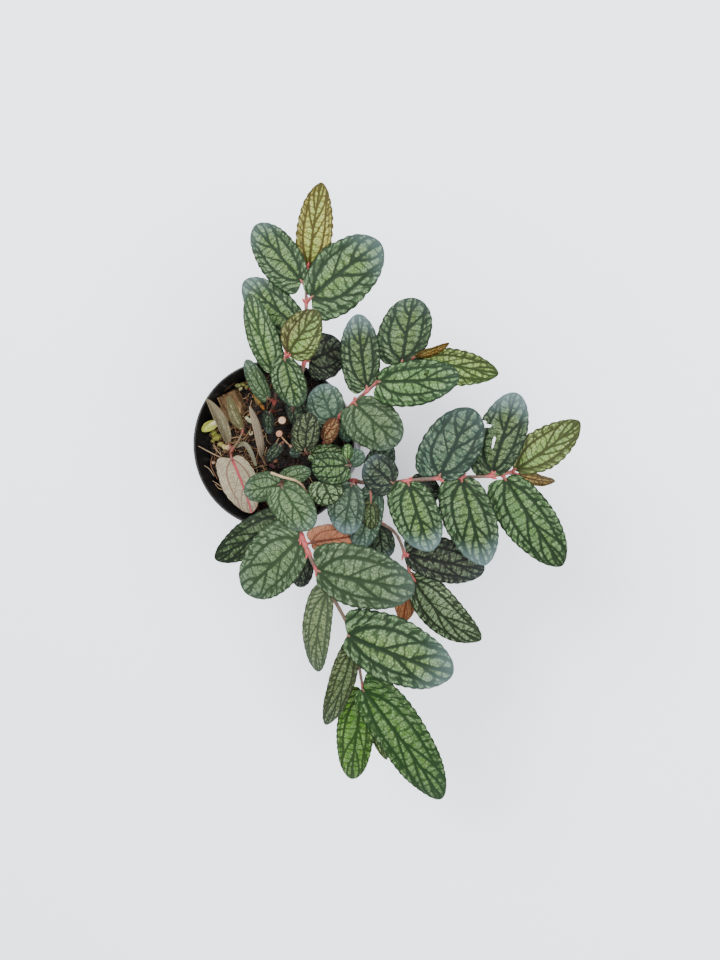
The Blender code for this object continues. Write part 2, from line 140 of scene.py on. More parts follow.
# Leaf blades, in mm, or as a share of the leaf's length or width
CELL = 0.6
BLADE_THICKNESS = 0.42
BLADE_END_WIDTH = 0.5
BLADE_ARCH = 0.06
OBLIQUE = 0.18
NARROW_EAR = 0.45
TOOTH_LENGTH = 3.8
TOOTH_SHIFT = 0.7
TOOTH_MIDDLE = 0.6
PATTERN_APART = 60.0
RUNG_APART = 4.3
RUNG_LEAN = 0.75
MARGIN_WAVE = 0.06
MARGIN_SHIFT = 1.9
TIP_MARGIN = 0.15
EDGE_STRIP = (0.085, 0.25)
GAP_WAVE = 0.12
GAP_WAVES = 5
MIDDLE = (-0.08, 0.08)
# Where the painted blue-grey sheen begins and is full along the blade, and how much sooner it begins near
# the margin
PAINTED_SHEEN_START = (0.66, 1.05)
PAINTED_SHEEN_CURVE = 0.08
FLUSH_START = (-0.15, 0.6)
FLUSH_FADING = 0.5

# How deep the veins are sunk: the midrib in mm, the others as a share of it, from what width of
# blade on in full, and how far from the margin
QUILT = 0.34
PAIR_DEPTH = 0.8
SIDE_DEPTH = 0.7
QUILT_WIDTH = 24
QUILT_MARGIN = 1.5

# Height of the pair of veins from the foot, how soon they reach it, and how they close at the tip
PAIR_LEVEL = (0.54, 0.64)
PAIR_CLIMB = 0.10
PAIR_END = 0.42
PAIR_CLOSING = (0.68, 0.98)

# Side veins: their curve across the blade, how far it leans at the foot and how much less at the
# tip, where on the midrib they begin, and how faint they are before that
SIDE_CURVE = (0.50, 0.14)
SIDE_LEAN = 1.08
SIDE_STRAIGHTENING = 0.35
SIDE_START = (0.22, 0.36)
FAINTEST = 0.05

# What differs at random from leaf to leaf: where the side veins start, how far the side veins and
# the rungs of one half stand ahead of the other's, the waves of the margin, and the tone
VEIN_START = (0.3, 0.6)
VEIN_SHIFT = (0.25, 0.6)
RUNG_SHIFT = (0.3, 0.7)
WAVES = (1.6, 2.6)
TONE_SPREAD = (0.95, 1.05)

# Widths of veins: a share of the blade's width, times start less thinning on the way, plus mm
Vein = namedtuple("Vein", "share start thinning least")
MIDRIB = Vein(0.030, 1.25, 0.70, 0.12)
PAIR_VEIN = Vein(0.028, 1.20, 0.65, 0.10)
SIDE_VEIN = Vein(0.025, 1.10, 0.60, 0.08)

# Cells of the fine networks on a blade's face and back to a mm, and crumbs of the soil to a metre
FACE_NET = 0.62
BACK_NET = 0.85
NET_RANDOMNESS = 0.9
SOIL_CRUMB = 700.0

# Where the blade is widest, how full its outline is towards its foot and its tip, how far the ear
# at its foot reaches back, its teeth, how far its halves rise or drop, and its side veins
Form = namedtuple("Form", "widest foot fullness ear tooth cup veins")
FORMS = {
    "oval": Form(widest=0.47, foot=0.40, fullness=0.50, ear=0.75, tooth=0.04, cup=-0.08, veins=3.7),
    "round": Form(widest=0.48, foot=0.40, fullness=0.46, ear=0.55, tooth=0.04, cup=-0.06, veins=3.4),
    "long": Form(widest=0.44, foot=0.42, fullness=0.56, ear=0.60, tooth=0.04, cup=-0.08, veins=4.4),
    "eared": Form(widest=0.44, foot=0.42, fullness=0.52, ear=1.35, tooth=0.04, cup=-0.08, veins=4.4),
    "young": Form(widest=0.42, foot=0.76, fullness=0.58, ear=0.20, tooth=0.08, cup=0.10, veins=5.0),
    "folded": Form(widest=0.42, foot=0.60, fullness=0.62, ear=0.20, tooth=0.04, cup=0.75, veins=4.5),
}

# Colours in sRGB from 0 to 255: veins, light patches near the midrib and near the margin, and
# the underside with its veins
PALE_BACK = ((76, 70, 62), (70, 28, 26))
# A reddish underside: partly the leaf's own colour, partly a painted glow of light shining through it
RED_BACK_AND_GLOW = ((186, 124, 90), (92, 38, 18))
Look = namedtuple("Look", "vein inner outer back back_vein", defaults=PALE_BACK)
LOOKS = {
    "mature": Look((12, 32, 9), (84, 110, 54), (82, 110, 72)),
    "deep": Look((10, 32, 5), (80, 113, 58), (80, 113, 66)),
    "leafy": Look((9, 36, 2), (64, 98, 32), (54, 84, 32)),
    "bright": Look((20, 44, 0), (54, 96, 10), (76, 120, 20)),
    "fresh": Look((18, 38, 12), (86, 112, 56), (100, 122, 84)),
    "muted": Look((28, 45, 22), (76, 98, 62), (78, 98, 70)),
    "misty": Look((34, 50, 38), (66, 88, 70), (88, 108, 92)),
    "slate": Look((14, 28, 20), (52, 74, 52), (54, 76, 62)),
    "faded": Look((42, 54, 34), (82, 98, 56), (96, 106, 74)),
    "olive": Look((24, 34, 10), (62, 80, 38), (76, 88, 46)),
    "earthy": Look((13, 25, 4), (76, 96, 64), (92, 112, 80)),
    # Painted shade: darker copies of the green looks, for leaves that lie in shadow
    "dusky": Look((12, 18, 4), (54, 64, 36), (74, 84, 52)),
    "gloomy": Look((1, 6, 0), (28, 38, 18), (56, 68, 52)),
    "dark": Look((6, 13, 6), (34, 48, 30), (34, 48, 34)),
    "young": Look((52, 46, 4), (140, 158, 66), (162, 160, 72), *RED_BACK_AND_GLOW),
    "unfolding": Look((38, 44, 12), (100, 130, 60), (120, 144, 74), *RED_BACK_AND_GLOW),
    "lively": Look((28, 44, 6), (112, 142, 64), (122, 150, 68), *RED_BACK_AND_GLOW),
    "ember": Look((60, 42, 0), (178, 138, 68), (122, 118, 30), *RED_BACK_AND_GLOW),
    "orange": Look((56, 28, 10), (128, 86, 50), (112, 74, 38), *RED_BACK_AND_GLOW),
    # Painted glow of light shining through: the orange-brown undersides of leaves that are turned over
    "backlit": Look((16, 30, 16), (60, 80, 40), (48, 68, 38), *RED_BACK_AND_GLOW),
    "amber": Look((16, 30, 16), (60, 80, 40), (48, 68, 38), (136, 92, 56), (90, 36, 12)),
    "old": Look((34, 34, 20), (62, 62, 36), (56, 52, 34), (150, 146, 120), (140, 50, 58)),
    "withered": Look((66, 62, 38), (94, 94, 62), (116, 106, 74), (108, 98, 76), (84, 68, 52)),
    "shrivelled": Look((90, 82, 62), (98, 92, 70), (122, 110, 88), (104, 92, 76), (60, 34, 26)),
    "dry": Look((112, 100, 84), (146, 134, 116), (138, 126, 108), (130, 120, 108), (108, 96, 86)),
    "lime": Look((124, 128, 50), (190, 194, 112), (196, 196, 130), (154, 160, 90), (134, 136, 54)),
}

# at: mm along the stem from the soil. heading: degrees in plan from +X. rise: degrees up to the
# tip. long, wide, lift above the stem and reach of the stalk: mm. roll: degrees about the midrib.
# bend: mm that the midrib's middle stands to its left. A leaf's broader half is the one towards
# the stem's foot, unless swapped. bloom: how strong the painted blue-grey sheen at its tip is,
# a painted reflection of the bright room. tone: its lightness, partly the leaf's own and partly
# painted: lowered as painted shade on leaves that lie in shadow, raised as painted light on leaves
# that the lamps leave too dark. flush: how brown one half is, the left one where it is positive.
# mesh: how wide its net of veins is. gaps: holes and tears, each as (u, v, half length, half width)
# in shares of the blade.
Leaf = namedtuple(
    "Leaf",
    "at heading rise long wide form look lift reach roll bend swapped bloom tone flush mesh gaps",
    defaults=("oval", "mature", 0, 1.5, 0, 0, False, 0.0, 1.0, 0.0, 1.0, ()))
Shoot = namedtuple("Shoot", "foot radius route leaves colour", defaults=((), "stem"))

TORN_LEAF = ((0.58, 0.98, 0.034, 0.24), (0.555, 0.72, 0.022, 0.20), (0.40, 0.27, 0.050, 0.055),
             (0.34, 0.25, 0.040, 0.040))
BITTEN_LEAF = ((0.60, -0.28, 0.024, 0.08), (0.625, -0.36, 0.018, 0.07))

SHOOTS = {
    "spray_1": Shoot(foot=(11, 13), radius=1.3, route=[
        (13, 16, 88), (16, 24, 97), (21, 35, 101), (24, 50, 103), (24, 66, 103), (23.5, 90, 101),
    ], leaves=[
        Leaf(94, 80.5, 3, 43, 19, "young", "young", lift=-5, reach=0, mesh=0.8),
        Leaf(84.5, 131, -9, 41, 22, lift=2, reach=3, bloom=0.45, mesh=0.85),
        Leaf(76, 37.5, -5, 43, 32, lift=2, reach=4, bloom=0.55, mesh=0.92),
        Leaf(60, 140, -5, 43, 22, lift=-1, reach=2.5, bloom=0.7, mesh=0.85),
        Leaf(47, 25, -14, 19, 23, "round", "gloomy", lift=-4, bloom=0.1, tone=0.9, mesh=0.65),
        Leaf(29, -72, -17, 20, 17, "round", "dark", lift=-5, bloom=0.5, tone=1.3, mesh=0.62),
    ]),
    "spray_2": Shoot(foot=(-3, 17), radius=1.1, route=[
        (3, 22, 90), (10, 32, 104), (15, 41, 112), (18, 45, 113),
    ], leaves=[
        Leaf(52, 50, 9, 26, 21, "young", "unfolding", lift=1, flush=0.45, mesh=0.72),
        Leaf(36, 107, 3, 40, 16, "long", "fresh", lift=5, reach=5, swapped=True, bloom=0.1, tone=1.2,
             mesh=0.82),
        Leaf(52, -78, -15, 24, 17, "round", "fresh", lift=4, bloom=0.1, tone=0.85, mesh=0.75),
        Leaf(19, 117, 14, 22, 10, "oval", "muted", lift=9, bloom=0.3, tone=0.9, mesh=0.65),
        Leaf(7, -97, -16, 12, 7, "oval", "dark", lift=6, bloom=0.3, tone=1.2, mesh=0.65),
    ]),
    "spray_3": Shoot(foot=(23, -6), radius=1.3, route=[
        (30, 0, 90), (35, 7, 95), (40, 14, 99), (51, 23, 104), (67, 36, 105), (77, 42, 101),
    ], leaves=[
        Leaf(86, -10, -4, 41, 18, "young", "lively", flush=0.18, mesh=0.88),
        Leaf(85, 19, 13, 18, 6, "young", "ember", lift=3.5, reach=3, roll=56, tone=0.95, mesh=0.6),
        Leaf(65, 3, 1, 39, 22, "oval", "deep", lift=3.5, bend=-1, bloom=0.1, mesh=0.93, gaps=BITTEN_LEAF),
        Leaf(80, 81, -7, 32, 26, "round", bloom=0.2, tone=0.72, mesh=0.8),
        Leaf(59, 98, 0, 36, 20, lift=1, bloom=0.8, tone=0.62, mesh=0.85),
        Leaf(50, -43, -6, 29, 25, "round", "muted", lift=4, bloom=0.15, tone=0.8, mesh=0.7),
        Leaf(34, 112, 8, 19, 20, "round", "misty", lift=2.5, bloom=0.6, tone=1.2, mesh=0.68),
        Leaf(39, -80, -22, 13, 8, "oval", "slate", lift=-3, bloom=0.1, tone=2, mesh=0.62),
        Leaf(21, 51, 22, 14, 9, "oval", "orange", lift=8.5, mesh=0.6),
    ]),
    "spray_4": Shoot(foot=(30, -15), radius=1.4, route=[
        (39, -18, 89), (45, -18, 95), (61, -19, 101), (91, -16, 101), (115, -15, 95), (126, -13, 89),
    ], leaves=[
        Leaf(111, 38, -1, 39, 20, "young", "unfolding", bend=-1, flush=0.08, mesh=0.86),
        Leaf(108, -11, -15, 20, 10, "young", "ember", lift=-6, reach=5, roll=50),
        Leaf(105, -57, -15, 55, 26, "long", "deep", reach=3, tone=0.95, mesh=0.86),
        Leaf(99, 74, -3, 41, 24, bloom=1, tone=0.55, mesh=0.86, gaps=TORN_LEAF),
        Leaf(84, -75, -13, 46, 26, "long", lift=1, bloom=1, tone=0.9, mesh=0.9),
        Leaf(73, 64, 0, 36, 28, "oval", "slate", lift=2, bloom=0.2, tone=1.2, mesh=0.88),
        Leaf(58, -73, -11, 36, 24, lift=2, bloom=1, mesh=0.8),
        Leaf(57, -35, -20, 17, 19, "oval", "dark", lift=-5),
        Leaf(51, 138, 8, 17, 19, "round", "slate", lift=5, reach=0, bloom=0.3, tone=0.4, mesh=0.7),
        Leaf(41, 78, -13, 21, 15, "oval", "slate", lift=-4, bloom=0.2, mesh=0.7),
        Leaf(43, -110, -12, 33, 17, "oval", "misty", lift=-4, reach=5, bloom=0.5, tone=1.2, mesh=0.7),
        Leaf(39, -92, -10, 14, 10, "oval", "olive", lift=-1, reach=10, tone=0.8, mesh=0.6),
        Leaf(29, -101, -13, 27, 20, "round", "misty", lift=6, bloom=1, tone=0.85, mesh=0.7),
    ]),
    "spray_5": Shoot(foot=(26, -23), radius=1.2, route=[
        (36, -26, 89), (47, -33, 93), (57, -38, 93), (66, -43, 92), (71, -51, 91), (76, -72, 83),
    ], leaves=[
        Leaf(68, -12, -13, 41, 23, "oval", "gloomy", bloom=0.1, tone=0.65, mesh=0.8),
        Leaf(82, -45, -16, 51, 22, "long", "earthy", lift=-1, bend=-3.5, tone=1.1, mesh=0.8),
        Leaf(78, -99, -19, 31, 14, "oval", "amber", lift=-4, roll=180, tone=1.5),
        Leaf(45, -83, -18, 20, 16, "round", "dark", lift=-2, bloom=0.4, tone=1.4, mesh=0.7),
    ]),
    "spray_6": Shoot(foot=(4, -19), radius=1.4, route=[
        (10, -26, 90), (17, -37, 99), (26, -56, 104), (36, -75, 101), (46, -99, 93), (49, -127, 82),
        (51, -134, 79),
    ], leaves=[
        Leaf(140, -58, -14, 79, 28, "eared", "leafy", lift=3, reach=-1, bend=3, bloom=0.05),
        Leaf(137, -100, -17, 61, 21, "oval", "bright", lift=-5, reach=5.5),
        Leaf(144, -79, -14, 43, 10, "young", "lively", lift=-6, roll=15),
        Leaf(109, -109.5, -10, 50, 15, "eared", "olive", lift=-2, reach=3, roll=-30, bloom=0.1, mesh=0.8),
        Leaf(104, -19, -6, 57, 34, lift=4, reach=-1.5, bloom=0.6, mesh=1.08),
        Leaf(74.5, -100, -15, 47.5, 15.5, "eared", "faded", lift=-2, reach=3.5, bend=-2, bloom=0.1,
             mesh=0.8),
        Leaf(64, -9, -2, 49, 31, "oval", "muted", lift=3, bloom=0.2, tone=0.82),
        Leaf(54, -115, -24, 22, 13, "oval", "dark", lift=-5, reach=3, mesh=0.75),
        Leaf(50, 8, -18, 24, 15, "oval", "backlit", lift=-7, roll=180),
        Leaf(46, -137, -8, 44, 31, "oval", "muted", lift=1, bloom=0.1, tone=0.92, mesh=0.78),
        Leaf(34, -152, -4, 50, 20, "long", "leafy", tone=0.32),
    ]),
    "crown_shoot_1": Shoot(foot=(20, -3), radius=1.0, route=[(22, -5, 88), (23, -4, 99)], leaves=[
        Leaf(26, 80, 9, 19, 15, "round", "dusky", lift=4, tone=0.85, mesh=0.62),
        Leaf(20, 4, -7, 17, 10, "oval", "earthy", lift=2, tone=2.8, mesh=0.62),
        Leaf(13, 171, 9, 6, 7, "round", "slate", lift=5, reach=4),
    ], colour="crown"),
    "crown_shoot_2": Shoot(foot=(-1, -18), radius=1.0, route=[(5, -19, 92), (12, -20, 103)], leaves=[
        Leaf(31, -54, -1.5, 26, 21, "oval", "muted", lift=5, bloom=0.3, tone=1.2, mesh=0.6),
        Leaf(31, -168, -6, 20, 15, "round", "muted", lift=2, bloom=0.2, mesh=0.62),
        Leaf(24, 20, 3, 16, 10, "oval", "muted", lift=2, reach=3, bloom=0.1, mesh=0.62),
    ], colour="crown"),
    "crown_shoot_3": Shoot(foot=(34, -9), radius=1.0, route=[(42, -11, 88), (46, -10, 99)], leaves=[
        Leaf(28, -176, -6, 19, 17, "round", "deep", lift=8, reach=0, tone=0.72, mesh=0.66),
        Leaf(23, 42, -12, 9, 10, "round", "misty", lift=4, bloom=0.3, tone=1.9, mesh=0.62),
        Leaf(25, 89, 7, 8, 6, "round", "fresh", lift=5, reach=3, tone=1.7, mesh=0.6),
    ], colour="crown"),
    "crown_shoot_4": Shoot(foot=(3, -6), radius=0.9, route=[(5, -4, 86), (9, 2, 93)], leaves=[
        Leaf(21, -132, -13, 12, 7, "oval", "dark", lift=3, mesh=0.62),
    ], colour="crown"),
    "crown_shoot_5": Shoot(foot=(24, -15), radius=0.9, route=[(29, -17, 88), (33, -17, 95)], leaves=[
        Leaf(22, -64, -2, 12, 18, "round", "earthy", lift=10.5, tone=1.3, mesh=0.62),
    ], colour="crown"),
    "old_shoot": Shoot(foot=(-26, -6), radius=1.0, route=[
        (-25, -5, 80), (-23, -3, 84), (-18, 2, 87), (-14.5, 8, 89),
    ], leaves=[
        Leaf(8, -70, -3, 32, 21, "long", "old", lift=2, reach=3, roll=180),
        Leaf(12, 113, 13, 26, 7, "folded", "shrivelled", lift=2, reach=3.5, roll=50),
        Leaf(26, 110, 14, 19, 5.5, "folded", "withered", reach=0.5),
    ], colour="old"),
    "withered_leaf": Shoot(foot=(-7, -11), radius=0.8, route=[(-6, -9, 80), (-5, -7, 84)], leaves=[
        Leaf(10, 94, 27, 29, 5.5, "long", "dry", lift=3, roll=60),
    ], colour="dry"),
    "pale_bud": Shoot(foot=(-28, 14), radius=1.0, route=[(-29, 14, 78), (-31, 13, 81)], leaves=[
        Leaf(8, -152, 4, 10, 5, "folded", "lime"),
    ], colour="pale"),
    "dry_twig": Shoot(foot=(19, -26), radius=0.7, route=[
        (20, -24, 90), (21, -21, 99), (19, -18, 105), (13, -16, 108), (7, -14, 108),
    ], colour="dry"),
    "cut_stub_1": Shoot(foot=(6, 13), radius=2.4, route=[(6, 13, 80), (6, 13, 86)], colour="stub"),
    "cut_stub_2": Shoot(foot=(3, 4), radius=1.9, route=[(3, 5, 79), (4, 6, 84)], colour="stub"),
}

# Internodes, knots and stalks of each kind of stem, in sRGB
STEM_COLOURS = {
    "stem": ((60, 38, 32), (154, 44, 56), (84, 58, 40)),
    # Painted shade: darker copies of the stem's colours, for the stems deep in the crown
    "crown": ((52, 34, 26), (84, 42, 36), (62, 46, 32)),
    "old": ((74, 60, 40), (112, 34, 38), (112, 50, 44)),
    "dry": ((150, 128, 96), (124, 96, 66), (120, 96, 70)),
    "pale": ((146, 140, 82), (136, 120, 58), (146, 140, 82)),
    "stub": ((78, 52, 30), (86, 56, 34), (86, 58, 38)),
}
SLOTS = {
    "old_shoot": "withered_leaf",
    "withered_leaf": "withered_leaf",
    "dry_twig": "cut_stem",
    "cut_stub_1": "cut_stem",
    "cut_stub_2": "cut_stem",
    "pale_bud": "bud_green",
}


def linear(colour):
    """An sRGB colour from 0 to 255 as the linear values that the shaders take."""
    share = np.array(colour) / 255
    return np.where(share > 0.04045, ((share + 0.055) / 1.055) ** 2.4, share / 12.92)


def smooth(low, high, value):
    """A soft step from 0 at low to 1 at high."""
    t = np.clip((value - low) / (high - low), 0, 1)
    return t * t * (3 - 2 * t)


def polar(radius, turn):
    return radius * math.cos(turn), radius * math.sin(turn)


class Pieces:
    """Gathers surfaces, with named values at their points, and makes one mesh object of them."""

    def __init__(self):
        self.points = []
        self.faces = []
        self.slots = []
        self.fields = {}
        self.count = 0

    def add(self, points, faces, slot=0, **fields):
        points = np.asarray(points, dtype=float).reshape(-1, 3)
        self.points.append(points)
        self.faces.extend([tuple(corner + self.count for corner in face) for face in faces])
        self.slots.extend([slot] * len(faces))
        for name, value in fields.items():
            value = np.asarray(value, dtype=float)
            width = 3 if value.shape[-1:] == (3,) else 1
            spread = np.broadcast_to(value.reshape(-1, width), (len(points), width))
            self.fields.setdefault(name, []).append(spread)
        self.count += len(points)

    def build(self, name, materials):
        mesh = bpy.data.meshes.new(name)
        mesh.from_pydata((np.concatenate(self.points) * MM).tolist(), [], self.faces)
        for field, parts in self.fields.items():
            values = np.concatenate(parts)
            kind, key = ("FLOAT_VECTOR", "vector") if values.shape[1] == 3 else ("FLOAT", "value")
            mesh.attributes.new(field, kind, "POINT").data.foreach_set(key, values.ravel())
        for material in materials:
            mesh.materials.append(material)
        mesh.polygons.foreach_set("material_index", self.slots)
        mesh.shade_smooth()
        mesh.update()
        item = bpy.data.objects.new(name, mesh)
        bpy.context.scene.collection.objects.link(item)
        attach(item, "root")
        return item


def grid_faces(kept):
    """Faces of a grid of points, those that are kept."""
    wide = kept.shape[1] + 1
    corners = [row * wide + column for row, column in np.argwhere(kept).tolist()]
    return [(a, a + wide, a + wide + 1, a + 1) for a in corners]


def ring_faces(count, sides, first=0, turned=False):
    """Faces from each of a count of rings of points to the next, turned over or not."""
    faces = []
    for start in range(first, first + count * sides, sides):
        for side in range(sides):
            a, b = start + side, start + (side + 1) % sides
            faces.append((a, a + sides, b + sides, b) if turned else (a, b, b + sides, a + sides))
    return faces


def fan_faces(middle, first, sides, turned=False):
    """Triangles from a middle point to a ring of points, turned over or not."""
    pairs = [(first + side, first + (side + 1) % sides) for side in range(sides)]
    return [(middle, b, a) if turned else (middle, a, b) for a, b in pairs]


def tube(points, radii, sides, flat=1.0, flat_way=SLANT):
    """Points and faces of a closed tube along points, with a radius at each, and the points'
    shares of the way along. flat narrows it along flat_way."""
    points = np.asarray(points, dtype=float)
    ahead = np.gradient(points, axis=0)
    ahead /= np.linalg.norm(ahead, axis=1)[:, None]
    across = np.array(flat_way)
    turns = np.arange(sides) * math.tau / sides
    rings = []
    for point, direction, radius in zip(points, ahead, radii):
        across = across - direction * across.dot(direction)
        across /= np.linalg.norm(across)
        other = np.cross(direction, across)
        ring = np.cos(turns)[:, None] * across * flat + np.sin(turns)[:, None] * other
        rings.append(point + ring * radius)
    count = len(points)
    end = count * sides
    shell = np.concatenate(rings + [points[:1], points[-1:]])
    faces = ring_faces(count - 1, sides) + fan_faces(end, 0, sides, turned=True)
    faces += fan_faces(end + 1, end - sides, sides)
    share = np.concatenate([np.repeat(np.linspace(0, 1, count), sides), [0.0, 1.0]])
    return shell, faces, share


def smooth_route(points, step):
    """Points about step apart on a smooth curve through the given points (Catmull-Rom)."""
    points = [np.array(point, dtype=float) for point in points]
    ends = [2 * points[0] - points[1], *points, 2 * points[-1] - points[-2]]
    route = []
    for before, start, end, after in zip(ends, ends[1:], ends[2:], ends[3:]):
        count = max(1, round(float(np.linalg.norm(end - start)) / step))
        for i in range(count):
            t = i / count
            route.append(0.5 * (2 * start + (end - before) * t
                                + (2 * before - 5 * start + 4 * end - after) * t ** 2
                                + (3 * start - before - 3 * end + after) * t ** 3))
    return np.array(route + [points[-1]])


def along(route, distance):
    """The point at a distance along a route, and the route's direction there."""
    for start, end in zip(route, route[1:]):
        length = np.linalg.norm(end - start)
        if distance <= length:
            return start + (end - start) * distance / length, (end - start) / length
        distance -= length
    last = route[-1] - route[-2]
    return route[-1], last / np.linalg.norm(last)


# Blades

def blade_axes(leaf):
    """The blade's directions: along its midrib, to its left, and up out of its face."""
    heading, rise, roll = (math.radians(angle) for angle in (leaf.heading, leaf.rise, leaf.roll))
    forward = np.array([math.cos(heading) * math.cos(rise), math.sin(heading) * math.cos(rise),
                        math.sin(rise)])
    level = np.array([-math.sin(heading), math.cos(heading), 0.0])
    upright = np.cross(forward, level)
    left = level * math.cos(roll) + upright * math.sin(roll)
    return forward, left, np.cross(forward, left)


def half_width(leaf, u):
    """Half the blade's width in mm at a share of its length."""
    form = FORMS[leaf.form]
    bend = math.log(0.5) / math.log(form.widest)
    swell = np.clip(np.sin(np.pi * np.clip(u, 0, 1) ** bend), 0, 1)
    swell = swell ** np.where(u < form.widest, form.foot, form.fullness)
    return np.maximum(leaf.wide * swell, BLADE_END_WIDTH) / 2


def slope_scale(value, x, y):
    """Millimetres for each unit of a value given on a grid of places."""
    xu, xv = np.gradient(x)
    yu, yv = np.gradient(y)
    fu, fv = np.gradient(value)
    area = xu * yv - xv * yu
    area = np.where(np.abs(area) < 1e-6, 1e-6, area)
    fx = (fu * yv - fv * yu) / area
    fy = (fv * xu - fu * xv) / area
    return 1 / np.clip(np.hypot(fx, fy), 1e-3, 1e3)


def cut_gap(u, v, gap):
    """Which faces of a grid a gap leaves. Moves the grid's points round the gap onto its edge."""
    gap_u, gap_v, long, wide = gap
    middle_u = (u[:-1, :-1] + u[1:, 1:]) / 2
    middle_v = (v[:-1, :-1] + v[1:, 1:]) / 2
    kept = ((middle_u - gap_u) / long) ** 2 + ((middle_v - gap_v) / wide) ** 2 > 1
    near_kept = np.zeros(u.shape, dtype=bool)
    near_cut = np.zeros(u.shape, dtype=bool)
    rows, columns = kept.shape
    for row in (0, 1):
        for column in (0, 1):
            corner = (slice(row, row + rows), slice(column, column + columns))
            near_kept[corner] |= kept
            near_cut[corner] |= ~kept
    edge = near_kept & near_cut
    off_u, off_v = (u[edge] - gap_u) / long, (v[edge] - gap_v) / wide
    far = np.hypot(off_u, off_v)
    reach = 1 + GAP_WAVE * np.sin(GAP_WAVES * np.arctan2(off_v, off_u))
    u[edge] = gap_u + off_u / far * reach * long
    v[edge] = np.clip(gap_v + off_v / far * reach * wide, -1, 1)
    return kept


def vein_width(leaf, vein, place):
    """A vein's width in mm at a share of its way, finer where the leaf's net is fine."""
    thin = 0.4 + 0.6 * leaf.mesh
    return thin * (vein.share * leaf.wide * (vein.start - vein.thinning * place) + vein.least)


def blade_grid(leaf, broad):
    """Each point's share of the blade's length and half width, and the faces that gaps leave."""
    rows = max(12, round(leaf.long / CELL))
    columns = 2 * max(5, round(leaf.wide / 2 / CELL))
    u = (1 - np.cos(np.pi * np.arange(rows + 1) / rows))[:, None] / 2
    v = np.linspace(-1, 1, columns + 1)[None, :]
    u, v = np.array(u + 0 * v), np.array(v + 0 * u)
    kept = np.ones((rows, columns), dtype=bool)
    for gap_u, gap_v, long, wide in leaf.gaps:
        kept &= cut_gap(u, v, (gap_u, gap_v * broad, long, wide))
    return u, v, kept


def blade_outline(leaf, u, v, broad):
    """Each point's place along and across the blade, and half the blade's width there, in mm."""
    form = FORMS[leaf.form]
    across = np.abs(v)
    on_broad = broad * v > 0
    half = half_width(leaf, u) * (1 + OBLIQUE * (1 - u) * np.where(on_broad, 1, -1))
    back = np.where(on_broad, form.ear, form.ear * NARROW_EAR) * half * across * (1 - u) ** 2
    teeth = max(4, round(leaf.long / TOOTH_LENGTH))
    scallop = np.abs(np.sin(np.pi * teeth * u + TOOTH_SHIFT * np.sign(v))) - TOOTH_MIDDLE
    return leaf.long * u - back, half * v * (1 + form.tooth * scallop * across ** 8), half


# Distances from the midrib, the pair and the side veins in widths of the vein, what scales the last,
# places on the ladders of side veins and rungs, and the distance from the margin in mm
Veins = namedtuple("Veins", "rib pair side side_scale phase ring margin")


def blade_veins(leaf, u, v, x, y, half, chance):
    """Where each point is among the midrib, a pair of veins from the foot, side veins and rungs."""
    across = np.abs(v)
    share = x / leaf.long
    rib = np.abs(y) / vein_width(leaf, MIDRIB, u)
    level = np.where(v > 0, chance.uniform(*PAIR_LEVEL), chance.uniform(*PAIR_LEVEL))
    climb = level * (1 - np.exp(-np.clip(share, 0, 1) / PAIR_CLIMB))
    climb = climb + PAIR_END * smooth(*PAIR_CLOSING, share)
    beyond = across - climb
    pair = beyond * slope_scale(beyond, x, y) / vein_width(leaf, PAIR_VEIN, u)
    shift = chance.uniform(*VEIN_SHIFT) * smooth(*MIDDLE, v)
    lean = SIDE_CURVE[0] * across + SIDE_CURVE[1] * across ** 2
    origin = share - lean * (SIDE_LEAN - SIDE_STRAIGHTENING * share)
    phase = origin * FORMS[leaf.form].veins + shift + chance.uniform(*VEIN_START)
    side_scale = slope_scale(phase, x, y) / vein_width(leaf, SIDE_VEIN, across)
    side_scale = side_scale / (FAINTEST + (1 - FAINTEST) * smooth(*SIDE_START, origin))
    side = np.abs(phase - np.round(phase)) * side_scale
    outside = half * np.clip(beyond, 0, 1)

    # Rungs stand wider apart on a wide blade
    ring = (x - RUNG_LEAN * outside) / (RUNG_APART * leaf.mesh * (0.55 + leaf.wide / 60))
    ring = ring + chance.uniform(*RUNG_SHIFT) * smooth(*MIDDLE, v)
    blunt = np.sqrt(np.clip(1 - (2 * u - 1) ** 8, 0, 1))
    margin = half * (1 - across) + leaf.long * TIP_MARGIN * (1 - blunt)
    return Veins(rib, pair, side, side_scale, phase, ring, margin)


def bow(u):
    """The rise of a bow over the blade's length: one at its middle."""
    return 4 * u * (1 - u)


def blade_relief(leaf, u, v, half, veins, chance):
    """Each point's height in mm on an arched, cupped blade with a waved margin and sunken veins."""
    waves = chance.uniform(*WAVES)
    turn = chance.uniform(0, math.tau)
    swing = np.sin(math.tau * waves * u + turn + MARGIN_SHIFT * (v > 0))
    z = BLADE_ARCH * leaf.long * bow(u) + FORMS[leaf.form].cup * half * v * v
    z = z + MARGIN_WAVE * half * v ** 2 * swing
    sunk = np.maximum(np.exp(-veins.rib ** 2 * 0.8), PAIR_DEPTH * np.exp(-veins.pair ** 2 * 0.5))
    sunk = np.maximum(sunk, SIDE_DEPTH * np.exp(-veins.side ** 2 * 0.5))
    depth = QUILT * min(1.0, leaf.wide / QUILT_WIDTH) * smooth(0, QUILT_MARGIN, veins.margin)
    return z - depth * sunk


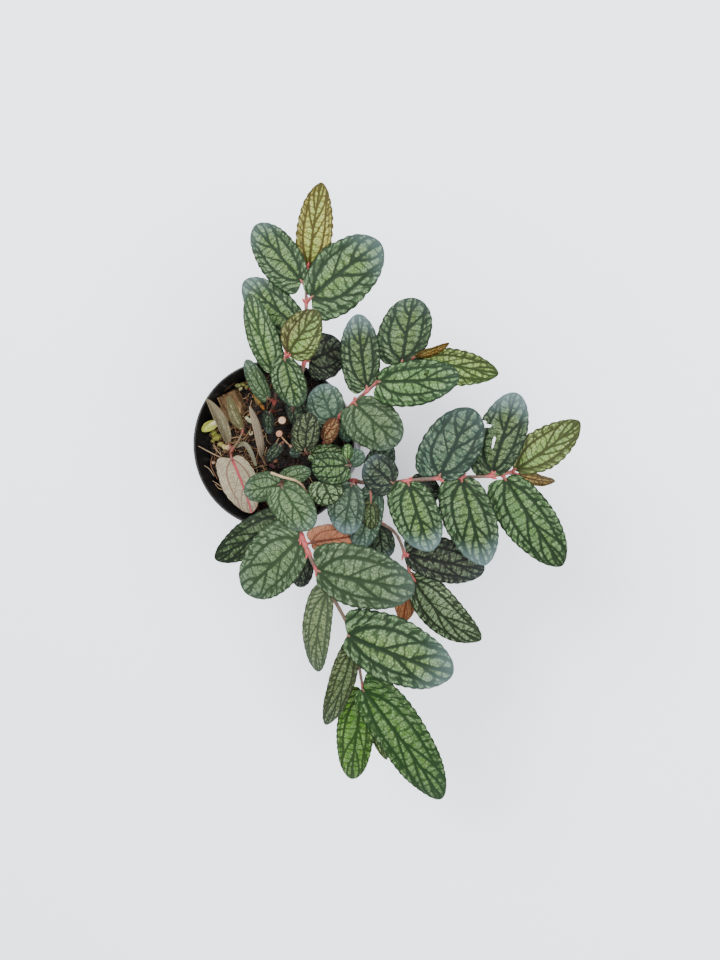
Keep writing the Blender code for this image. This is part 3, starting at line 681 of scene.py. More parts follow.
def add_blade(pieces, leaf, base, broad, chance):
    """A blade as a fine quilted sheet, with the places of its veins at each point."""
    u, v, kept = blade_grid(leaf, broad)
    x, y, half = blade_outline(leaf, u, v, broad)
    veins = blade_veins(leaf, u, v, x, y, half, chance)
    z = blade_relief(leaf, u, v, half, veins, chance)
    y = y + leaf.bend * bow(u)
    forward, left, up = blade_axes(leaf)
    points = base + x[..., None] * forward + y[..., None] * left + z[..., None] * up
    apart = PATTERN_APART * np.array([chance.random(), chance.random()])
    # The leaf's tone, partly its own lightness and partly painted light and shade, with a small random
    # spread
    tone = leaf.tone * chance.uniform(*TONE_SPREAD)
    tints = LOOKS[leaf.look]._asdict().items()
    across = np.abs(v)
    edge_strip = EDGE_STRIP[0] * leaf.wide + EDGE_STRIP[1]
    flushed = smooth(*FLUSH_START, v * np.sign(leaf.flush)) * (1 - FLUSH_FADING * u)
    # Painted blue-grey sheen that grows towards the tip: a painted reflection of the bright room
    pieces.add(
        points, grid_faces(kept),
        veins=np.stack([veins.rib, veins.pair, veins.side_scale], axis=-1),
        ladder=np.stack([veins.phase + round(apart[0]), veins.ring + apart[1], veins.margin], axis=-1),
        spot=np.stack([x / leaf.mesh + apart[0], y / leaf.mesh + apart[1], across], axis=-1),
        edge=veins.margin / edge_strip,
        bloom=leaf.bloom * smooth(*PAINTED_SHEEN_START, u + PAINTED_SHEEN_CURVE * across),
        flush=abs(leaf.flush) * flushed,
        **{name + "_tint": linear(colour) * tone for name, colour in tints})


# Stems

def foot_dulling_and_shade(points):
    """How much of its colour a stem keeps: darker towards the soil, partly duller and partly painted
    shade.
    """
    height = np.clip((points[:, 2:3] - SOIL_TOP) / DULL_AND_SHADE_HEIGHT, 0, 1)
    return DULL_AND_SHADE_FOOT + (1 - DULL_AND_SHADE_FOOT) * height


def add_stem(pieces, shoot):
    """The stem from below the soil to its tip, swollen and red at its knots."""
    start = (*shoot.foot, STEM_START)
    root = np.array([*shoot.foot, SOIL_TOP - ROOT_DEPTH])
    points = np.concatenate([[root], smooth_route([start, *shoot.route], FINE_STEP)])
    gone = np.concatenate([[0], np.cumsum(np.linalg.norm(np.diff(points, axis=0), axis=1))])
    gone = gone - gone[1]
    knots = np.zeros(len(points))
    swelling = np.zeros(len(points))
    for leaf in shoot.leaves:
        knots = np.maximum(knots, np.exp(-((gone - leaf.at) / KNOT_LENGTH) ** 2))
        swelling = np.maximum(swelling, np.exp(-((gone - leaf.at) / SWELLING_LENGTH) ** 2))
    thinning = STEM_THINNING if shoot.leaves else 0.0
    radii = shoot.radius * (1 - thinning * np.clip(gone / gone[-1], 0, 1))
    radii = radii * (BETWEEN_KNOTS + SWELLING * swelling)
    radii = radii * (1 + STEM_WAVE * np.sin(gone * STEM_WAVES))
    if shoot.leaves:
        radii[-1] *= TIP_TAPER
    shell, faces, share = tube(points, radii, STEM_SIDES)
    inner, knot, _ = (linear(colour) for colour in STEM_COLOURS[shoot.colour])
    knot_share = np.concatenate([np.repeat(knots, STEM_SIDES), [0, knots[-1]]])[:, None]
    tint = inner * (0.75 + 0.45 * share[:, None]) * (1 - knot_share) + knot * knot_share
    if shoot.colour == "stem":
        tint = tint * foot_dulling_and_shade(shell)
    pieces.add(shell, faces, 2, tint=tint, spot=shell)


def add_stalk(pieces, start, base, end, radius, tints):
    """A leaf stalk that curves from the stem into the blade."""
    middle = start * 0.45 + base * 0.55
    middle[2] += STALK_ARCH * np.linalg.norm(base - start)
    points = smooth_route([start, middle, base, end], STALK_STEP)
    shell, faces, share = tube(points, np.linspace(radius * 1.25, radius * 0.75, len(points)), 10)
    tint = (tints[0] * (1 - share[:, None]) + tints[1] * share[:, None]) * foot_dulling_and_shade(shell)
    pieces.add(shell, faces, 2, tint=tint, spot=shell)


def add_scale(pieces, start, way, long, wide, tint):
    """A small pointed scale, such as a stipule, that lifts away from its foot."""
    way = way / np.linalg.norm(way)
    steps = np.linspace(0, 1, 9)
    points = start + np.outer(steps * long, way) + np.outer(steps ** 2, (0, 0, SCALE_LIFT * long))
    radii = wide / 2 * np.sin(np.pi * (0.12 + 0.88 * steps) ** 0.8) ** 0.9 + 0.04
    shell, faces, share = tube(points, radii, 8, 0.22, UPWARD)
    tint = tint * (0.85 + 0.4 * share[:, None]) * foot_dulling_and_shade(shell)
    pieces.add(shell, faces, 2, tint=tint, spot=shell)


def add_scales(pieces, start, direction, tint, chance):
    """A pair of stipules at a knot, one on each side of the stem."""
    for way in (1, -1):
        aside = np.cross(direction, UPWARD) * way * SCALE_ASIDE
        add_scale(pieces, start + aside, direction + aside * 0.9 + (0, 0, 0.35),
                  chance.uniform(*SCALE_LONG), chance.uniform(*SCALE_WIDE),
                  tint * chance.uniform(*SCALE_TONE))


def build_shoot(name, shoot, materials):
    """A rooted stem with its leaves: blades in one piece, stem, stalks and scales in another."""
    chance = random.Random(f"{SEED} {name}")
    blades = Pieces()
    stems = Pieces()
    add_stem(stems, shoot)
    route = smooth_route([(*shoot.foot, STEM_START), *shoot.route], STEM_STEP)
    _, knot, stalk = (linear(colour) for colour in STEM_COLOURS[shoot.colour])
    scaled = []
    for leaf in shoot.leaves:
        start, direction = along(route, leaf.at)
        forward, left, upward = blade_axes(leaf)
        level = np.array([forward[0], forward[1], 0.0])
        level /= np.linalg.norm(level)
        base = start + (0, 0, leaf.lift) + level * leaf.reach
        broad = math.copysign(1, left.dot(direction)) * (1 if leaf.swapped else -1)
        add_blade(blades, leaf, base, broad, chance)
        size = STALK_RADIUS + STALK_GROWTH * leaf.long
        end = base + forward * STALK_IN_BLADE - upward * size * 0.9
        add_stalk(stems, start, base - upward * size * 0.6, end, size, (knot, stalk))
        alone = all(abs(leaf.at - other) > KNOTS_APART for other in scaled)
        if shoot.colour == "stem" and shoot.radius > 1 and leaf.long > SCALED_LEAF and alone:
            scaled.append(leaf.at)
            add_scales(stems, start, direction, knot, chance)
    body = stems.build(name + "_stem", materials)
    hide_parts(name)
    SLOTS.get(name, "green_leaf")
    if shoot.leaves:
        sheet = blades.build(name + "_blades", materials)
        solid = sheet.modifiers.new("Thickness", "SOLIDIFY")
        solid.thickness = BLADE_THICKNESS * MM
        solid.offset = -1.0
        solid.material_offset = 1
        solid.material_offset_rim = 0
        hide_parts(name)
        SLOTS.get(name, "green_leaf")


# Materials, with their colours in sRGB from 0 to 255

PALE_CELL = (140, 160, 122)
BROWN_VEIN = (44, 22, 10)
BROWN_CELL = (128, 100, 66)
# Painted reflection: the blue-grey sheen painted on the leaves' tips
PAINTED_SHEEN_COLOUR = (116, 138, 142)
BACK_EDGE = (120, 110, 90)
STEM_DULL = (96, 84, 58)
STEM_SPECK = (214, 170, 150)
PLASTIC = (14, 14, 15)
PLASTIC_DUST = (92, 90, 86)
PEAT_DARK = (8, 6, 5)
PEAT_BROWN = (26, 18, 13)
PEAT_SPECK = (70, 44, 28)
LITTER_STREAK = (30, 20, 13)
FLOOR_PAINT = (246, 249, 254)


class Signal:
    """An output of a material's node. Arithmetic with it adds Math nodes."""

    def __init__(self, graph, socket):
        self.graph = graph
        self.socket = socket

    def math(self, operation, *others):
        return self.graph.math(operation, self, *others)

    def __add__(self, other):
        return self.math("ADD", other)

    def __sub__(self, other):
        return self.math("SUBTRACT", other)

    def __rsub__(self, other):
        return self.graph.math("SUBTRACT", other, self)

    def __mul__(self, other):
        return self.math("MULTIPLY", other)

    def __truediv__(self, other):
        return self.math("DIVIDE", other)

    def __abs__(self):
        return self.math("ABSOLUTE")

    def ramp(self, start, end, low=0.0, high=1.0):
        """A soft step from low at start to high at end."""
        keys = ("Value", "From Min", "From Max", "To Min", "To Max")
        inputs = dict(zip(keys, (self, start, end, low, high)))
        return self.graph.node("MapRange", inputs, interpolation_type="SMOOTHSTEP")

    def parts(self):
        made = self.graph.make("SeparateXYZ", {0: self})
        return [Signal(self.graph, socket) for socket in made.outputs]


class Graph:
    """Short calls for making a material's nodes."""

    def __init__(self, name, **values):
        self.material = bpy.data.materials.new(name)
        self.material.use_nodes = True
        self.tree = self.material.node_tree
        self.shader = self.tree.nodes["Principled BSDF"]
        for socket, value in values.items():
            self.shader.inputs[socket.replace("_", " ")].default_value = value

    def put(self, socket, value):
        if isinstance(value, Signal):
            self.tree.links.new(value.socket, socket)
        else:
            socket.default_value = value

    def make(self, kind, inputs, **settings):
        made = self.tree.nodes.new("ShaderNode" + kind)
        for name, value in settings.items():
            setattr(made, name, value)
        for key, value in inputs.items():
            self.put(made.inputs[key], value)
        return made

    def node(self, kind, inputs, output=0, **settings):
        return Signal(self, self.make(kind, inputs, **settings).outputs[output])

    def read(self, name, output="Vector"):
        """The mesh's value of that name."""
        return self.node("Attribute", {}, output, attribute_name=name, attribute_type="GEOMETRY")

    def place(self):
        return self.node("TexCoord", {}, "Object")

    def math(self, operation, *values):
        return self.node("Math", dict(enumerate(values)), operation=operation)

    def mix(self, factor, first, second, blend="MIX"):
        return self.node("Mix", {0: factor, 6: first, 7: second}, 2, data_type="RGBA", blend_type=blend)

    def noise(self, place, scale, detail=2.0):
        return self.node("TexNoise", {"Vector": place, "Scale": scale, "Detail": detail})

    def cells(self, output, place, scale, randomness=1.0, dimensions="2D", feature="F1"):
        inputs = {"Vector": place, "Scale": scale, "Randomness": randomness}
        return self.node("TexVoronoi", inputs, output, voronoi_dimensions=dimensions, feature=feature)

    def network(self, place, scale):
        """Distance from the fine veins between cells."""
        return self.cells("Distance", place, scale, NET_RANDOMNESS, feature="DISTANCE_TO_EDGE")

    def rungs(self, spot, outer, phase, ring):
        """Distance in mm from the cross veins, which start afresh in each strip between veins, and
        the share of the way from one to the next. They stand wider apart in the outer strips."""
        apart = 1.0 - outer * 0.2
        strip = phase.math("FLOOR") + outer * 57.3
        start = self.node("TexWhiteNoise", {"W": strip}, "Value", noise_dimensions="1D")
        wander = self.noise(spot, 0.16, 1.0) * 1.3
        between = (ring * apart + start + wander).math("PINGPONG", 0.5)
        return between * RUNG_APART / apart, between

    def finish(self, colour, roughness, height, depth):
        """Joins up the shader, with a relief of a depth in mm, and gives the material."""
        bump = self.node("Bump", {"Strength": 1.0, "Distance": depth * MM, "Height": height})
        for key, value in (("Base Color", colour), ("Roughness", roughness), ("Normal", bump)):
            self.put(self.shader.inputs[key], value)
        return self.material


def shade(colour):
    """An sRGB colour from 0 to 255 for a colour socket."""
    return (*linear(colour).tolist(), 1.0)


def leaf_material():
    """A blade's face: dark veins and margin round light cells, and a painted blue-grey sheen at the tip.
    """
    graph = Graph("leaf_face", Specular_IOR_Level=0.16)
    spot = graph.read("spot")
    across = spot.parts()[2]
    rib, basal, side_scale = graph.read("veins").parts()
    phase, ring, margin = graph.read("ladder").parts()
    outer = basal.math("GREATER_THAN", 0.0)
    cell_tone = graph.cells("Color", spot, FACE_NET, NET_RANDOMNESS).parts()[0]
    ragged = cell_tone - 0.5

    def beside(distance, width, blur, on_vein):
        """How light the blade is at a distance from a vein: one away from it."""
        return (distance + ragged * 0.4).ramp(width, width + blur, on_vein)

    rungs, between = graph.rungs(spot, outer, phase, ring)
    loop = abs(graph.read("edge", "Fac") + (between * 0.9 - 1.4))
    light = beside(rib, 0.35, 1.5, 0.0)
    light = light * beside(abs(basal), 0.25, 1.7, 0.0)
    light = light * beside(phase.math("PINGPONG", 0.5) * side_scale, 0.3, 1.7, 0.05)
    light = light * beside(rungs - (outer * 0.4 + 0.16), 0.0, 0.8, 0.36 - outer * 0.16)
    light = light * beside(loop * 2.0, 0.1, 1.0, 0.35)
    light = light * (margin + ragged).ramp(0.3, 1.4, 0.1)

    # Fine veins, which widen towards the main ones
    reach = (1.0 - light) * 0.4
    fine = graph.network(spot, FACE_NET).ramp(reach - 0.06, reach + 0.32)
    light = light.ramp(0.0, 0.8) * (fine * 0.62 + 0.38)
    light = light * graph.noise(spot, 0.35).ramp(0.3, 0.7, 0.78)

    patch = graph.mix(across.ramp(0.12, 0.62), graph.read("inner_tint", "Color"),
                      graph.read("outer_tint", "Color"))
    patch = graph.mix(cell_tone.ramp(0.0, 1.0, 0.0, 0.25), patch, shade(PALE_CELL))
    colour = graph.mix(light, graph.read("vein_tint", "Color"), patch)
    brown = graph.mix(light, shade(BROWN_VEIN), shade(BROWN_CELL))
    colour = graph.mix(graph.read("flush", "Fac"), colour, brown)
    # Painted blue-grey sheen, mostly on the light patches: a painted reflection of the bright room
    bloom = graph.read("bloom", "Fac") * light.ramp(0.0, 0.7, 0.35, 0.62)
    colour = graph.mix(bloom, colour, shade(PAINTED_SHEEN_COLOUR))
    height = light + graph.noise(spot, 3.0, 3.0) * 0.35
    return graph.finish(colour, light.ramp(0.0, 1.0, 0.58, 0.48), height, 0.22)


def leaf_back_material():
    """A blade's underside: pale, with raised main veins of another colour and a dull fine network."""
    graph = Graph("leaf_back", Specular_IOR_Level=0.3)
    spot = graph.read("spot")
    rib, basal, side_scale = graph.read("veins").parts()
    phase, ring, _ = graph.read("ladder").parts()
    rungs, _ = graph.rungs(spot, basal.math("GREATER_THAN", 0.0), phase, ring)
    side = phase.math("PINGPONG", 0.5) * side_scale
    dull = abs(basal).ramp(0.3, 1.0, 0.9, 0.0)
    dull = dull.math("MAXIMUM", side.ramp(0.2, 0.9, 0.8, 0.0))
    dull = dull.math("MAXIMUM", rungs.ramp(0.1, 0.6, 0.65, 0.0))
    dull = dull.math("MAXIMUM", graph.network(spot, BACK_NET).ramp(0.02, 0.2, 0.5, 0.0))
    back = graph.read("back_tint", "Color")
    main = graph.read("back_vein_tint", "Color")
    stain = graph.noise(spot, 0.3, 4.0).ramp(0.35, 0.7, 0.0, 0.45)
    back = graph.mix(dull.math("MAXIMUM", stain), back, graph.mix(0.85, back, main, "MULTIPLY"))
    back = graph.mix(spot.parts()[2].ramp(0.6, 1.0, 0.0, 0.2), back, shade(BACK_EDGE))
    strong = rib.ramp(0.5, 1.2, 1.0, 0.0)
    colour = graph.mix(strong, back, main)
    return graph.finish(colour, strong.ramp(0.0, 1.0, 0.62, 0.5), strong.math("MAXIMUM", dull), 0.35)


def stem_material():
    """Stems, stalks and scales: fine streaks and spots on the tint of each point."""
    graph = Graph("stem_skin", Specular_IOR_Level=0.4)
    spot = graph.read("spot")
    grain = graph.noise(spot, 1.1, 4.0)
    speck = graph.noise(spot, 4.0, 2.0)
    dull = graph.mix(grain.ramp(0.35, 0.7, 0.0, 0.45), graph.read("tint", "Color"), shade(STEM_DULL))
    colour = graph.mix(speck.ramp(0.55, 0.75, 0.0, 0.3), dull, shade(STEM_SPECK))
    return graph.finish(colour, grain.ramp(0.3, 0.7, 0.4, 0.6), grain + speck, 0.12)


def pot_material():
    """Thin black plastic: satin, with faint scuffs, dust and dried water marks."""
    graph = Graph("black_plastic", Specular_IOR_Level=0.32)
    place = graph.place()
    upright = graph.node("Mapping", {"Vector": place, "Scale": (300.0, 300.0, 40.0)})
    streak = graph.noise(upright, 1.0, 5.0)
    dust = graph.noise(place, 90.0, 5.0)
    worn = streak.ramp(0.52, 0.75) * dust.ramp(0.4, 0.7)
    colour = graph.mix(worn * 0.3, shade(PLASTIC), shade(PLASTIC_DUST))
    return graph.finish(colour, (worn + dust).ramp(0.3, 1.2, 0.40, 0.68), dust * 0.6 + streak, 0.05)


def soil_material():
    """Moist peat: dark crumbs, with brown and reddish specks."""
    graph = Graph("peat_soil", Specular_IOR_Level=0.3)
    place = graph.place()
    tone = graph.cells("Color", place, SOIL_CRUMB, dimensions="3D").parts()[0]
    crumb = graph.cells("Distance", place, SOIL_CRUMB, dimensions="3D")
    coarse = graph.noise(place, 160.0, 6.0)
    colour = graph.mix(coarse.ramp(0.35, 0.7), shade(PEAT_DARK), shade(PEAT_BROWN))
    colour = graph.mix(tone.ramp(0.86, 0.97, 0.0, 0.4), colour, shade(PEAT_SPECK))
    return graph.finish(colour, coarse.ramp(0.3, 0.8, 0.75, 0.98), coarse + crumb, 1.2)


def litter_material():
    """Bark, fibres, rootlets and moss: fibrous streaks on the tint of each point."""
    graph = Graph("litter", Specular_IOR_Level=0.3)
    grain = graph.noise(graph.read("spot"), 1.0, 5.0)
    colour = graph.mix(grain.ramp(0.4, 0.65, 0.5, 0.0), graph.read("tint", "Color"), shade(LITTER_STREAK))
    return graph.finish(colour, grain.ramp(0.3, 0.7, 0.7, 0.95), grain, 0.4)


# Pot and soil

def inner_wall_radius(height):
    """Radius in mm of the pot's inner face at a height, below its collar."""
    slope = (NECK_RADIUS - BASE_RADIUS) / NECK_HEIGHT
    return BASE_RADIUS + slope * height - WALL


def pot_profile():
    """The pot's section from the middle of its floor, up inside, over the rim and back outside."""
    channel_top = CHANNEL_RISE + FLOOR
    collar_foot = POT_HEIGHT - COLLAR_HEIGHT
    step_foot = NECK_HEIGHT - STEP_EASE
    roll = RIM_WALL / 2
    rim_middle = RIM_RADIUS - roll
    rim = [(rim_middle - roll * math.cos(a), POT_HEIGHT - roll + roll * math.sin(a))
           for a in np.linspace(0, math.pi, RIM_STEPS)]
    inside = [(AXIS_GAP, FLOOR), (CHANNEL_INNER - CHANNEL_SLOPE, FLOOR), (CHANNEL_INNER, channel_top),
              (CHANNEL_OUTER, channel_top), (CHANNEL_OUTER + CHANNEL_SLOPE, FLOOR),
              (inner_wall_radius(FLOOR), FLOOR), (inner_wall_radius(step_foot), step_foot),
              (COLLAR_RADIUS - RIM_WALL, collar_foot + STEP_EASE)]
    outside = [(COLLAR_RADIUS, collar_foot + EDGE_EASE), (COLLAR_RADIUS - EDGE_EASE, collar_foot),
               (NECK_RADIUS + EDGE_EASE / 2, NECK_HEIGHT), (NECK_RADIUS, NECK_HEIGHT - EDGE_EASE),
               (BASE_RADIUS + 0.1, BASE_CHAMFER), (BASE_RADIUS - 0.2, 0.25),
               (BASE_RADIUS - BASE_CHAMFER, 0.0), (CHANNEL_OUTER, 0.0),
               (CHANNEL_OUTER - CHANNEL_SLOPE, CHANNEL_RISE),
               (CHANNEL_INNER + CHANNEL_SLOPE, CHANNEL_RISE), (CHANNEL_INNER, 0.0), (AXIS_GAP, 0.0)]
    return inside + rim + outside


def drain_cutters():
    """Cutters for the drain holes in the channel and the slots between them at the pot's edge."""
    cutters = bpy.data.collections.new("pot cutters")
    bpy.context.scene.collection.children.link(cutters)
    for i in range(DRAIN_HOLES):
        angle = math.tau * i / DRAIN_HOLES
        turn = angle + math.pi / DRAIN_HOLES
        bpy.ops.mesh.primitive_cylinder_add(
            vertices=32, radius=DRAIN_HOLE_RADIUS * MM, depth=DRAIN_HOLE_DEPTH * MM)
        hole = bpy.context.object
        hole.location = Vector((*polar((CHANNEL_INNER + CHANNEL_OUTER) / 2, angle), CHANNEL_RISE)) * MM
        bpy.ops.mesh.primitive_cube_add(size=MM)
        slot = bpy.context.object
        slot.scale = DRAIN_SLOT_SIZE
        slot.rotation_euler.z = turn
        slot.location = Vector((*polar(BASE_RADIUS, turn), 0.0)) * MM
        for cutter in (hole, slot):
            for owner in list(cutter.users_collection):
                owner.objects.unlink(cutter)
            cutters.objects.link(cutter)
    return cutters


def build_pot(material):
    profile = pot_profile()
    turns = [math.tau * step / POT_STEPS for step in range(POT_STEPS)]
    last = (len(profile) - 1) * POT_STEPS
    faces = ring_faces(len(profile) - 1, POT_STEPS)
    faces.append(tuple(reversed(range(POT_STEPS))))
    faces.append(tuple(range(last, last + POT_STEPS)))
    pieces = Pieces()
    pieces.add([(*polar(radius, turn), z) for radius, z in profile for turn in turns], faces)
    pot = pieces.build("nursery_pot", [material])
    cutters = drain_cutters()
    cut = pot.modifiers.new("Drain holes", "BOOLEAN")
    cut.operand_type = "COLLECTION"
    cut.collection = cutters
    cut.solver = "EXACT"
    bpy.context.view_layer.update()
    depsgraph = bpy.context.evaluated_depsgraph_get()
    mesh = bpy.data.meshes.new_from_object(pot.evaluated_get(depsgraph))
    pot.modifiers.clear()
    pot.data = mesh
    for cutter in list(cutters.objects):
        bpy.data.objects.remove(cutter, do_unlink=True)
    bpy.data.collections.remove(cutters)
    mesh.shade_smooth()
    mesh.set_sharp_from_angle(angle=math.radians(SHARP_ANGLE))
    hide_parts("pot")


def soil_height(x, y):
    """Height in mm of the soil's uneven top."""
    middle = 1 - (math.hypot(x, y) / inner_wall_radius(SOIL_TOP)) ** 2
    grain = noise.noise(Vector((x, y, 0)) / SOIL_GRAIN)
    crumb = noise.turbulence(Vector((x, y, 3)) / CRUMB_GRAIN, 4, False)
    return SOIL_TOP + SOIL_MOUND * middle + SOIL_ROUGHNESS * grain + crumb - CRUMB_SINK


def build_soil(material):
    edge = inner_wall_radius(SOIL_TOP) - SOIL_GAP
    foot = CHANNEL_RISE + FLOOR + CLEARANCE
    foot_radius = inner_wall_radius(foot) - CLEARANCE
    turns = [math.tau * step / SOIL_STEPS for step in range(SOIL_STEPS)]
    places = [(0.0, 0.0)]
    for ring in range(1, SOIL_RINGS + 1):
        places += [polar(edge * ring / SOIL_RINGS, turn) for turn in turns]
    points = [(x, y, soil_height(x, y)) for x, y in places]
    points += [(*polar(foot_radius, turn), foot) for turn in turns]
    faces = fan_faces(0, 1, SOIL_STEPS) + ring_faces(SOIL_RINGS, SOIL_STEPS, 1, turned=True)
    faces.append(tuple(reversed(range(len(places), len(points)))))
    pieces = Pieces()
    pieces.add(points, faces)
    soil = pieces.build("soil_body", [material])
    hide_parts("soil")


# Litter on the soil, and small dry or budding bits

BARK_CHIP = ((-35.0, 27.0), (-23.5, 31.5), (-18.5, 20.0), (-22.5, 7.5), (-31.5, 15.5))
BARK_CHIP_HEIGHTS = (73.0, 79.0)
BARK_GRAIN = (0.45, -0.89)
# The bark's brown, and the paler colour of its raised ridges, partly its own and partly a painted
# highlight
BARK_DARK = (104, 80, 50)
BARK_PALE_AND_HIGHLIGHT = (204, 172, 120)
FIBRE_TINTS = ((78, 48, 28), (120, 78, 46), (152, 114, 74), (186, 154, 110))
CRUMB_TINTS = ((16, 11, 8), (26, 18, 12), (40, 26, 17), (74, 44, 28), (104, 66, 44))
BARK_RINGS = 40
BARK_RAGGED = 0.07
BARK_GROOVE = 2.2
BARK_SINK = 0.9
BARK_TILT = 0.08
CUT_RINGS = 12
CUT_SIDES = 28

# Gaps to the pot's wall in mm: the least of all litter, the least of a crumb's middle or a fibre's
# start, and where a fibre turns back
WALL_GAP = 0.1
LITTER_GAP = 1.0
FIBRE_GAP = 1.2

# Sizes in mm, shares of a size, bends in radians and tones of crumbs and fibres, at random within
# a range where two numbers are given
CRUMB_SIZE = (0.35, 1.5)
CRUMB_WIDE = (0.5, 1.0)
CRUMB_HIGH = (0.4, 0.8)
CRUMB_TONE = (0.7, 1.1)
CRUMB_ROUGHNESS = 0.7
FIBRE_LONG = (3.0, 10.0)
FIBRE_LIFT = (0.2, 1.6)
FIBRE_BEND = 0.5
FIBRE_RADIUS = (0.08, 0.26)
FIBRE_TONE = (0.6, 1.1)

# Sectors of the soil in degrees, each with its number of crumbs or fibres
OPEN_SECTOR = (95.0, 265.0)
SHADED_SECTOR = (-95.0, 95.0)
WALL_SECTOR = (165.0, 225.0)
CRUMBS = ((OPEN_SECTOR, 230), (SHADED_SECTOR, 120))
FIBRES = ((OPEN_SECTOR, 170), (SHADED_SECTOR, 40), (WALL_SECTOR, 110))

# Bent threads and straps: points in mm, radius, flatness, tint
STRANDS = (
    (((-42.2, -0.8, 84.0), (-36.0, -5.2, 78.0), (-30.0, -8.2, 75.5)), 0.30, 1.0, (142, 122, 96)),
    (((-40.2, -11.6, 81.0), (-38.4, -13.6, 78.0), (-36.6, -17.8, 75.5)), 0.22, 1.0, (162, 146, 120)),
    (((-37.7, -6.3, 75.5), (-38.2, -11.6, 76.4), (-34.8, -19.4, 75.4)), 0.20, 1.0, (130, 84, 56)),
    (((-36.4, -20.0, 78.5), (-32.6, -23.0, 76.5), (-29.5, -26.4, 75.0)), 0.22, 1.0, (158, 130, 100)),
    (((-35.4, -21.8, 77.5), (-33.0, -24.6, 76.5), (-28.0, -24.6, 75.5)), 0.20, 1.0, (158, 130, 100)),
    (((-37.1, -0.2, 76.0), (-34.5, -3.2, 76.5), (-31.8, -6.3, 76.0)), 0.22, 1.0, (142, 122, 96)),
    (((-25.6, 38.0, 76.0), (-26.7, 33.0, 76.5), (-30.5, 29.5, 77.0)), 0.30, 1.0, (120, 92, 60)),
    (((-20.5, -1.2, 84.5), (-14.3, 0.4, 88.0), (-10.6, -3.9, 88.5), (-8.5, -11.4, 86.0)), 1.5, 0.25,
     (62, 66, 50)),
    (((3.6, 3.6, 84.0), (0.6, -1.4, 82.0), (-0.4, -4.4, 80.0)), 0.55, 1.0, (124, 92, 66)),
    (((5.2, 4.6, 85.0), (7.6, 2.6, 87.0), (11.0, -0.6, 87.5)), 0.45, 1.0, (128, 98, 68)),
    (((10.6, -0.2, 87.5), (13.0, -2.6, 87.5), (15.0, -6.2, 86.5)), 1.2, 0.35, (136, 104, 80)),
    (((23.0, -28.9, 86.0), (26.0, -30.0, 86.5), (28.9, -32.0, 86.0)), 0.8, 0.4, (140, 112, 76)),
    (((-15.9, 7.3, 75.5), (-15.3, 5.6, 76.5), (-13.9, 5.9, 76.5), (-14.2, 7.4, 75.8)), 0.45, 1.0,
     (176, 168, 130)),
)

# Rounded lumps: place, half sizes, turn in degrees, tint
LUMPS = (
    ((-35.1, 4.3, 75.2), (2.6, 2.1, 1.8), 20, (138, 136, 60)),
    ((-36.9, 6.3, 74.8), (1.6, 1.9, 1.5), 70, (148, 150, 68)),
    ((-32.9, 0.2, 75.0), (1.8, 1.4, 1.4), 10, (148, 138, 72)),
    ((-30.6, -1.2, 75.4), (1.4, 1.7, 1.3), 50, (162, 150, 94)),
    ((-28.4, -1.6, 75.6), (1.9, 1.5, 1.2), 30, (186, 158, 120)),
    ((-22.4, 32.6, 75.6), (1.7, 1.2, 1.0), 15, (130, 134, 84)),
    ((-19.4, 33.2, 75.4), (1.6, 1.1, 1.0), -20, (116, 112, 58)),
    ((-20.6, 30.8, 76.0), (1.2, 0.9, 0.9), 40, (150, 148, 100)),
    ((-17.4, 31.6, 75.4), (1.4, 1.0, 0.9), 60, (104, 98, 52)),
    ((-37.4, 2.2, 75.0), (1.3, 1.0, 1.0), 30, (122, 118, 54)),
    ((-15.6, 13.2, 75.4), (1.9, 1.3, 1.2), -25, (158, 164, 128)),
    ((-17.2, 14.4, 75.2), (1.0, 1.3, 1.1), 40, (172, 176, 140)),
    ((-10.4, 24.4, 78.0), (3.4, 1.3, 0.8), -58, (112, 88, 26)),
    ((-8.0, 20.6, 77.0), (2.2, 0.9, 0.8), -50, (124, 80, 24)),
    ((-17.0, 34.4, 75.4), (1.2, 0.9, 0.9), 30, (124, 58, 42)),
    ((-15.4, 30.8, 75.2), (1.1, 0.8, 0.7), 60, (112, 50, 34)),
    ((0.0, -8.2, 79.0), (1.3, 1.5, 1.2), 0, (144, 92, 64)),
    ((-0.4, -4.6, 80.0), (0.9, 1.0, 0.9), 0, (138, 84, 62)),
    ((-6.8, -9.4, 75.6), (2.6, 1.3, 0.9), 25, (56, 26, 28)),
    ((-2.8, -11.6, 75.4), (2.4, 1.2, 0.9), -30, (64, 30, 32)),
    ((-37.2, -10.0, 75.2), (1.2, 1.0, 0.9), 20, (166, 136, 112)),
)

# Plump bud: points in mm with radius and tint at each
BUD = (((-31.6, 13.0, 80.4), 1.3, (172, 162, 136)), ((-33.4, 12.0, 81.0), 1.8, (176, 170, 140)),
       ((-35.6, 10.8, 81.2), 1.9, (150, 158, 70)), ((-38.0, 9.6, 81.2), 1.6, (138, 150, 46)),
       ((-40.0, 8.6, 81.2), 0.6, (164, 172, 92)))

# Cut faces: place, radius, tints from the middle to the edge
CUT_FACES = (
    ((6.0, 13.0, 86.1), 2.15, ((150, 104, 84), (206, 176, 150), (196, 160, 134), (210, 182, 158),
                               (168, 122, 96))),
    ((4.0, 6.0, 84.7), 1.75, ((162, 104, 78), (188, 134, 102), (158, 96, 70), (190, 140, 110),
                              (136, 84, 60))),
)


def keep_inside(points):
    """Points beyond the pot's wall, pulled back to its inner face."""
    points = np.array(points, dtype=float)
    reach = inner_wall_radius(points[:, 2]) - WALL_GAP
    far = np.maximum(np.hypot(points[:, 0], points[:, 1]), 1e-6)
    points[:, :2] *= np.minimum(1.0, reach / far)[:, None]
    return points


def ball_shape(level):
    """Points and faces of a unit ball of triangles."""
    work = bmesh.new()
    bmesh.ops.create_icosphere(work, subdivisions=level, radius=1.0)
    points = np.array([tuple(vertex.co) for vertex in work.verts])
    faces = [tuple(vertex.index for vertex in face.verts) for face in work.faces]
    work.free()
    return points, faces


